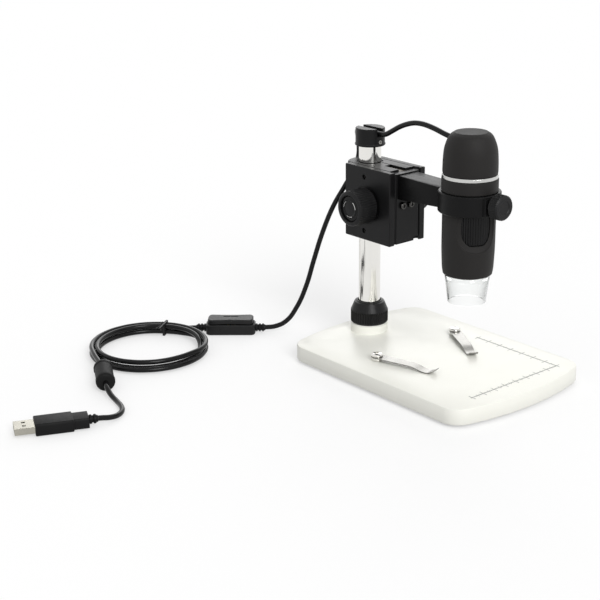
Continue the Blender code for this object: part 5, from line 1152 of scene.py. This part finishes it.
@dataclass
class Stand:
    """The base plate with its rule, the post, the collar and the cap.

    Attributes:
        leg_y: Divisions of the printed rule along Y, and leg_x along X.
        ticks: Every how many divisions a tick stands, its half length and its half width.
        collar: Radius, height and flute share of the collar's rings.
    """

    plate_top: float = 0.0128
    corner: Pair = (0.0696, 0.0442)
    leg_y: int = 81
    leg_x: int = 71
    division: float = 0.001
    line_width: float = 0.00042
    ticks: Sequence[tuple[int, float, float]] = ((10, 0.0030, 0.00020), (5, 0.0016, 0.00013),
                                                 (1, 0.0009, 0.00008))
    print_depth: float = 0.00001
    print_rise: float = 0.00003
    post_radius: float = 0.0076
    post_wall: float = 0.0012
    post_edge: float = 0.0003
    post_heights: Pair = (0.0078, 0.1507)
    collar: Rows = (
        (0.0082, 0.0194), (0.0125, 0.0194), (0.0131, 0.0200, 0.2), (0.0131, 0.0206, 1.0),
        (0.0131, 0.0276, 1.0), (0.0131, 0.0283, 0.2), (0.0127, 0.0289), (0.0107, 0.0338), (0.0104, 0.0343),
        (0.0094, 0.0344), (0.0090, 0.0347), (0.0089, 0.0352), (0.0082, 0.0352))
    nodes: Sequence[str] = (
        "base_plate", "front_near_foot", "front_far_foot", "rear_near_foot", "rear_far_foot", "post_screw",
        "post_cap", "cap_set_screw", "near_clip", "far_clip", "near_clip_stud", "far_clip_stud")

    def _bars(self) -> list[tuple[float, float, float, float]]:
        """Lay out the printed rule.

        Returns:
            Centre, half length along X and half length along Y of each bar.
        """
        x, y, d, w = *self.corner, self.division, self.line_width / 2
        bars = [(x, y - self.leg_y * d / 2, w, self.leg_y * d / 2 + w),
                (x - self.leg_x * d / 2, y, self.leg_x * d / 2 + w, w)]
        for count, along_y in ((self.leg_y, True), (self.leg_x, False)):
            for i in range(count + 1):
                half, thin = next(size for every, *size in self.ticks if i % every == 0)
                bars.append((x, y - i * d, half, thin) if along_y else (x - i * d, y, thin, half))
        return bars

    def _rule(self) -> None:
        """Print the rule with its corner on the plate."""
        points, faces = [], []
        low, high = self.plate_top - self.print_depth, self.plate_top + self.print_rise
        for x, y, half_x, half_y in self._bars():
            faces += ring_faces(2, 4, len(points), capped=True)
            points += [(x + sx * half_x, y + sy * half_y, z) for z in (low, high)
                       for sx, sy in ((-1, -1), (1, -1), (1, 1), (-1, 1))]
        settle(mesh_piece("printed_rule", points, faces, PRINT_GREY), PRINT_GREY, "base")

    def _post(self) -> None:
        """Turn the chromed post."""
        r, wall, edge, (low, high) = self.post_radius, self.post_wall, self.post_edge, self.post_heights
        profile = [*rings(r, low, (-wall, 0.0), (-edge, 0.0), (0.0, edge)),
                   *rings(r, high, (0.0, -edge), (-edge, 0.0), (-wall, 0.0))]
        Turned("post_skin", profile, FINISHES["chrome"], ON_POST, closed=True).put("base", "post_tube")

    def _collar(self) -> None:
        """Turn the locking collar with its fine vertical flutes."""
        Turned("collar_skin", self.collar, COLLAR_BLACK, ON_POST, flutes=48, depth=0.0007, sharp=0.45,
               closed=True).put("collar", "locking_collar")

    def build(self) -> None:
        """Make and dress the stand."""
        for node in self.nodes:
            dress_node(node, SPRING_STEEL if node.endswith("_clip") else None)
        self._rule()
        self._post()
        self._collar()


@dataclass
class FocusDrive:
    """The block on the post, its plates, screws, knobs and the slide.

    Attributes:
        heel: Steps of a knob's rings from the edge of its back, brim and well from those of its face.
        cap_sunk: How far the foot of the knob's cap lies under its face.
        cap_edge: The share of the cap's radius from which it drops.
        highlight_arc_cut: What sets the length of the satin silver arcs on the bead, painted highlights.
    """

    shaft: Point = (-0.0493, 0.0, 0.1095)
    core: float = 0.0002
    knob_radius: float = 0.0120
    knob_faces: Pair = (0.0170, 0.0325)
    heel: Rows = ((-0.0012, 0.0), (0.0, 0.0010, 0.3), (0.0, 0.0022, 1.0))
    brim: Rows = (
        (0.0, -0.0016, 1.0), (-0.0002, -0.0009, 0.3), (-0.0010, -0.0002), (-0.0020, 0.0))
    well: Rows = ((0.0003, 0.0), (0.0, -0.0004), (0.0, -0.0022))
    cap_room: float = 0.0003
    cap_radius: float = 0.0087
    cap_rings: int = 40
    cap_sunk: float = 0.0021
    cap_wall: float = 0.0007
    cap_dome: float = 0.0006
    cap_edge: float = 0.97
    cap_drop: float = 0.0004
    bead_radius: float = 0.0056
    bead_half: float = 0.0009
    bead_rise: float = 0.0006
    highlight_arcs: int = 3
    highlight_arc_half: float = 0.00026
    highlight_arc_cut: float = 0.1
    nodes: Sequence[str] = (
        "post_sleeve", "block_body", "near_side_plate", "far_side_plate", "upper_clamp_screw",
        "lower_clamp_screw", "pinion_shaft", "slide_carriage", "focus_rack", "near_carriage_screw",
        "far_carriage_screw", "near_arm_screw", "far_arm_screw")

    def _knob(self, side: str, axis: Axis) -> None:
        """Turn a knob with its flutes and its recessed face.

        Args:
            side: The side that it is on.
            axis: The way that its face looks.
        """
        back, face = self.knob_faces
        recess = rings(self.cap_radius + self.cap_room, face, *self.well)
        profile = [(self.core, back), *rings(self.knob_radius, back, *self.heel),
                   *rings(self.knob_radius, face, *self.brim), *recess, (self.core, recess[-1][1])]
        Turned(f"{side}_knob_skin", profile, TURNED_BLACK, self.shaft, axis, flutes=44, depth=0.00034,
               sharp=0.8).put("knobs", f"{side}_knob")

    def _cap(self, side: str, axis: Axis) -> None:
        """Form the glossy cap in a knob's face, with a raised bead that carries painted highlight arcs.

        Args:
            side: The side that it is on.
            axis: The way that it looks.
        """
        bottom, profile = self.knob_faces[1] - self.cap_sunk, []
        for k in range(1, self.cap_rings + 1):
            share = k / self.cap_rings
            ridge = 1.0 - abs(share * self.cap_radius - self.bead_radius) / self.bead_half
            drop = self.cap_drop if share > self.cap_edge else 0.0
            rise = self.cap_wall + self.cap_dome * (1.0 - share ** 2) + self.bead_rise * ease(ridge, (0, 1))
            profile.append((share * self.cap_radius, bottom + rise - drop))
        profile.append((self.cap_radius, bottom))
        cap = Turned(f"{side}_knob_badge", profile, GLOSS_BLACK, self.shaft, axis, degrees=40.0)
        obj, inside = cap.build(), cap.place().inverted()
        # Faces on the bead within the arcs take satin silver: painted highlights
        obj.data.materials.append(SHOP.material(FINISHES["satin_silver"]))
        for face in obj.data.polygons:
            spot = inside @ face.center
            reach, angle = math.hypot(spot.x, spot.y), math.atan2(spot.y, spot.x)
            on_bead = abs(reach - self.bead_radius) < self.highlight_arc_half
            face.material_index = int(on_bead and math.sin(self.highlight_arcs * angle) > self.highlight_arc_cut)
        settle(obj, GLOSS_BLACK, "knobs", f"{side}_knob_cap")

    def build(self) -> None:
        """Make and dress the drive."""
        for node in self.nodes:
            special = DARK_STEEL if "_screw" in node else DARKENED_BRASS if node == "focus_rack" else None
            dress_node(node, special)
        for side, axis in (("near", Axis.NEAR), ("far", Axis.FAR)):
            self._knob(side, axis)
            self._cap(side, axis)


@dataclass
class ArmAndScrew:
    """The arm with its clamp ring, and the screw that holds the microscope in it.

    Attributes:
        back: How far the back of the screw's head is from the microscope's axis, with face and tip.
        shank: Steps of the rings of its tip, and heel, brim and well of the edges of its head.
    """

    centre: Point = (SCOPE_X, 0.0, 0.1256)
    radius: float = 0.0081
    back: float = 0.0222
    face: float = 0.0297
    tip: float = 0.0183
    shank: Rows = ((0.0014, 0.0), (0.0020, 0.0005))
    heel: Rows = ((-0.0010, 0.0), (0.0, 0.0009, 0.4), (0.0, 0.0016, 1.0))
    brim: Rows = ((0.0, -0.0016, 1.0), (0.0, -0.0009, 0.4), (-0.0010, 0.0))
    well: Rows = ((0.0006, 0.0), (0.0, -0.0005))
    core: float = 0.0002

    def build(self) -> None:
        """Dress the arm and turn the fluted screw."""
        dress_node("scope_arm", ARM_BLACK)
        shank = rings(0.0, self.tip, *self.shank)
        recess = rings(self.radius / 2, self.face, *self.well)
        profile = [*shank, (shank[-1][0], self.back), *rings(self.radius, self.back, *self.heel),
                   *rings(self.radius, self.face, *self.brim), *recess, (self.core, recess[-1][1])]
        Turned("thumb_screw_skin", profile, TURNED_BLACK, self.centre, Axis.FORWARD, flutes=34, depth=0.00042,
               sharp=0.7).put("thumb", "thumb_screw")


# Microscope

@dataclass
class Microscope:
    """The microscope: domed head, silver ring, barrel with its window, focus wheel and clear nozzle.

    Attributes:
        collar: Radius and height of the rings of the barrel's upper part, taper and bore of its lower.
        window_inner: Half the window's angle and height at the wheel, window_outer at the skin.
        window_rings: Distance of the cutter's rings from the axis, and their share of the flare.
        window_power: How its outline rounds: 1 is an ellipse, and less is nearer to a rectangle.
    """

    head_bottom: float = 0.1430
    head_top: float = 0.1692
    head_radius: float = 0.0176
    head_foot: Rows = ((-0.0010, 0.0), (-0.0002, 0.0))
    radius_shares: Sequence[float] = (1.0, 0.9915, 0.957, 0.869, 0.756, 0.602)
    height_shares: Sequence[float] = (0.0, 0.319, 0.583, 0.785, 0.925, 1.0)
    top_shares: Sequence[float] = (0.45, 0.25, 0.08)
    collar: Rows = (
        (0.0155, 0.1455), (0.0163, 0.1455), (0.0163, 0.1400), (0.0178, 0.1400), (0.0181, 0.1397),
        (0.0181, 0.1323), (0.0178, 0.1320), (0.0171, 0.1320))
    taper: Rows = (
        (0.0171, 0.1050), (0.0171, 0.0980), (0.01703, 0.0930), (0.01685, 0.0885), (0.0165, 0.0815),
        (0.0159, 0.0775))
    taper_steps: int = 4
    bore: Rows = ((0.0150, 0.0770), (0.0140, 0.0770), (0.0140, 0.0986), (0.0155, 0.0986))
    window_heading: float = math.radians(-26.5)
    window_height: float = 0.1105
    window_inner: Pair = (math.radians(36.5), 0.0115)
    window_outer: Pair = (math.radians(47.0), 0.0158)
    window_rings: Sequence[Pair] = (
        (0.0140, 0.0), (0.0154, 0.05), (0.0158, 0.45), (0.0161, 0.75), (0.0164, 0.93), (0.0171, 1.0),
        (0.0250, 1.05))
    window_ends: Pair = (0.0060, 0.0260)
    window_steps: int = 64
    window_power: float = 0.82
    barrel_degrees: float = 24.0
    head_degrees: float = 14.0
    trim: Rows = (
        (0.0165, 0.1403), (0.0176, 0.1403), (0.0179, 0.1406), (0.01792, 0.1415), (0.0179, 0.1424),
        (0.0176, 0.1427), (0.0165, 0.1427))
    wheel: Rows = (
        (0.0126, 0.0989), (0.0146, 0.0989), (0.0150, 0.0993, 0.4), (0.0152, 0.0998, 1.0),
        (0.0152, 0.1206, 1.0), (0.0150, 0.1211, 0.4), (0.0146, 0.1215), (0.0126, 0.1215))
    nozzle: Rows = (
        (0.0125, 0.0800), (0.0137, 0.0800), (0.0137, 0.0767), (0.0148, 0.0767), (0.0148, 0.0757),
        (0.0146, 0.0752), (0.0138, 0.0690), (0.01268, 0.0600), (0.0125, 0.0582), (0.0123, 0.0580),
        (0.0116, 0.0580), (0.0115, 0.0583), (0.0116, 0.0600), (0.0126, 0.0690), (0.0132, 0.0752),
        (0.0126, 0.0765))
    nodes: Sequence[str] = ("cable_gland", "sensor_board", "lens_tube", "lens", "led_board")

    def _head(self) -> None:
        """Turn the soft domed head."""
        height, top = self.head_top - self.head_bottom, self.head_top
        rough = [(self.head_radius * r, self.head_bottom + height * h, 0.0)
                 for r, h in zip(self.radius_shares, self.height_shares)]
        dome = [(p.x, min(p.y, top)) for p in smooth_through(rough)]
        profile = [*rings(self.head_radius, self.head_bottom, *self.head_foot), *dome[1:],
                   *((self.head_radius * share, top) for share in self.top_shares)]
        Turned("head_skin", profile, FINISHES["soft_black"], ON_SCOPE, degrees=self.head_degrees).put(
            "scope", "scope_head")

    def _window_cutter(self) -> Piece:
        """Make the solid that cuts the scooped window, with its wall flared outwards.

        Returns:
            The solid.
        """
        steps, heading, middle = self.window_steps, self.window_heading, self.window_height
        points, faces = [], ring_faces(len(self.window_rings), self.window_steps)
        for reach, share in self.window_rings:
            half, tall = (a + (b - a) * share for a, b in zip(self.window_inner, self.window_outer))
            for i in range(steps):
                turn = 2 * math.pi * i / steps
                across, up = (math.copysign(abs(v) ** self.window_power, v)
                              for v in (math.cos(turn), math.sin(turn)))
                angle = heading + half * across
                points.append((SCOPE_X + reach * math.cos(angle), reach * math.sin(angle),
                               middle + tall * up))
        ends = zip((0, len(points) - steps), self.window_ends, (True, False))
        for first, reach, flip in ends:
            points.append((SCOPE_X + reach * math.cos(heading), reach * math.sin(heading), middle))
            for i in range(steps):
                face = (first + i, first + (i + 1) % steps, len(points) - 1)
                faces.append(face[::-1] if flip else face)
        return mesh_piece("window_cutter", points, faces, FINISHES["soft_black"])

    def _barrel(self) -> None:
        """Turn the barrel and cut the scooped window over the focus wheel."""
        taper = [(p.x, p.y) for p in smooth_through([(r, h, 0.0) for r, h in self.taper], self.taper_steps)]
        finish = FINISHES["soft_black"]
        barrel = Turned("barrel_skin", [*self.collar, *taper, *self.bore], finish, ON_SCOPE, closed=True,
                        degrees=self.barrel_degrees).build()
        cutter = self._window_cutter()
        cut = barrel.modifiers.new("window", "BOOLEAN")
        cut.object, cut.operation, cut.solver = cutter, "DIFFERENCE", "EXACT"
        bpy.context.view_layer.update()
        ready = barrel.evaluated_get(bpy.context.evaluated_depsgraph_get())
        mesh = bpy.data.meshes.new_from_object(ready)
        barrel.modifiers.remove(cut)
        barrel.data = mesh
        bpy.data.objects.remove(cutter, do_unlink=True)
        clean_faces(mesh, self.barrel_degrees)
        settle(barrel, finish, "scope", "scope_barrel")

    def build(self) -> None:
        """Make and dress the microscope."""
        for node in self.nodes:
            dress_node(node)
        self._head()
        self._barrel()
        Turned("trim_skin", self.trim, FINISHES["satin_silver"], ON_SCOPE, closed=True).put(
            "scope", "trim_ring")
        Turned("wheel_skin", self.wheel, FINISHES["black_rubber"], ON_SCOPE, flutes=56, depth=0.0006,
               sharp=1.4, closed=True).put("wheel", "focus_wheel")
        Turned("nozzle_skin", self.nozzle, FINISHES["clear_acrylic"], ON_SCOPE, closed=True).put(
            "scope", "clear_nozzle")


def main() -> None:
    """Build the picture and the object."""
    logging.basicConfig(level=logging.INFO, format="%(name)s: %(message)s")
    for part in (Picture(), Cord(), Plug(), Stand(), FocusDrive(), ArmAndScrew(), Microscope()):
        LOG.info("building %s", type(part).__name__)
        part.build()


if __name__ == "__main__":
    main()
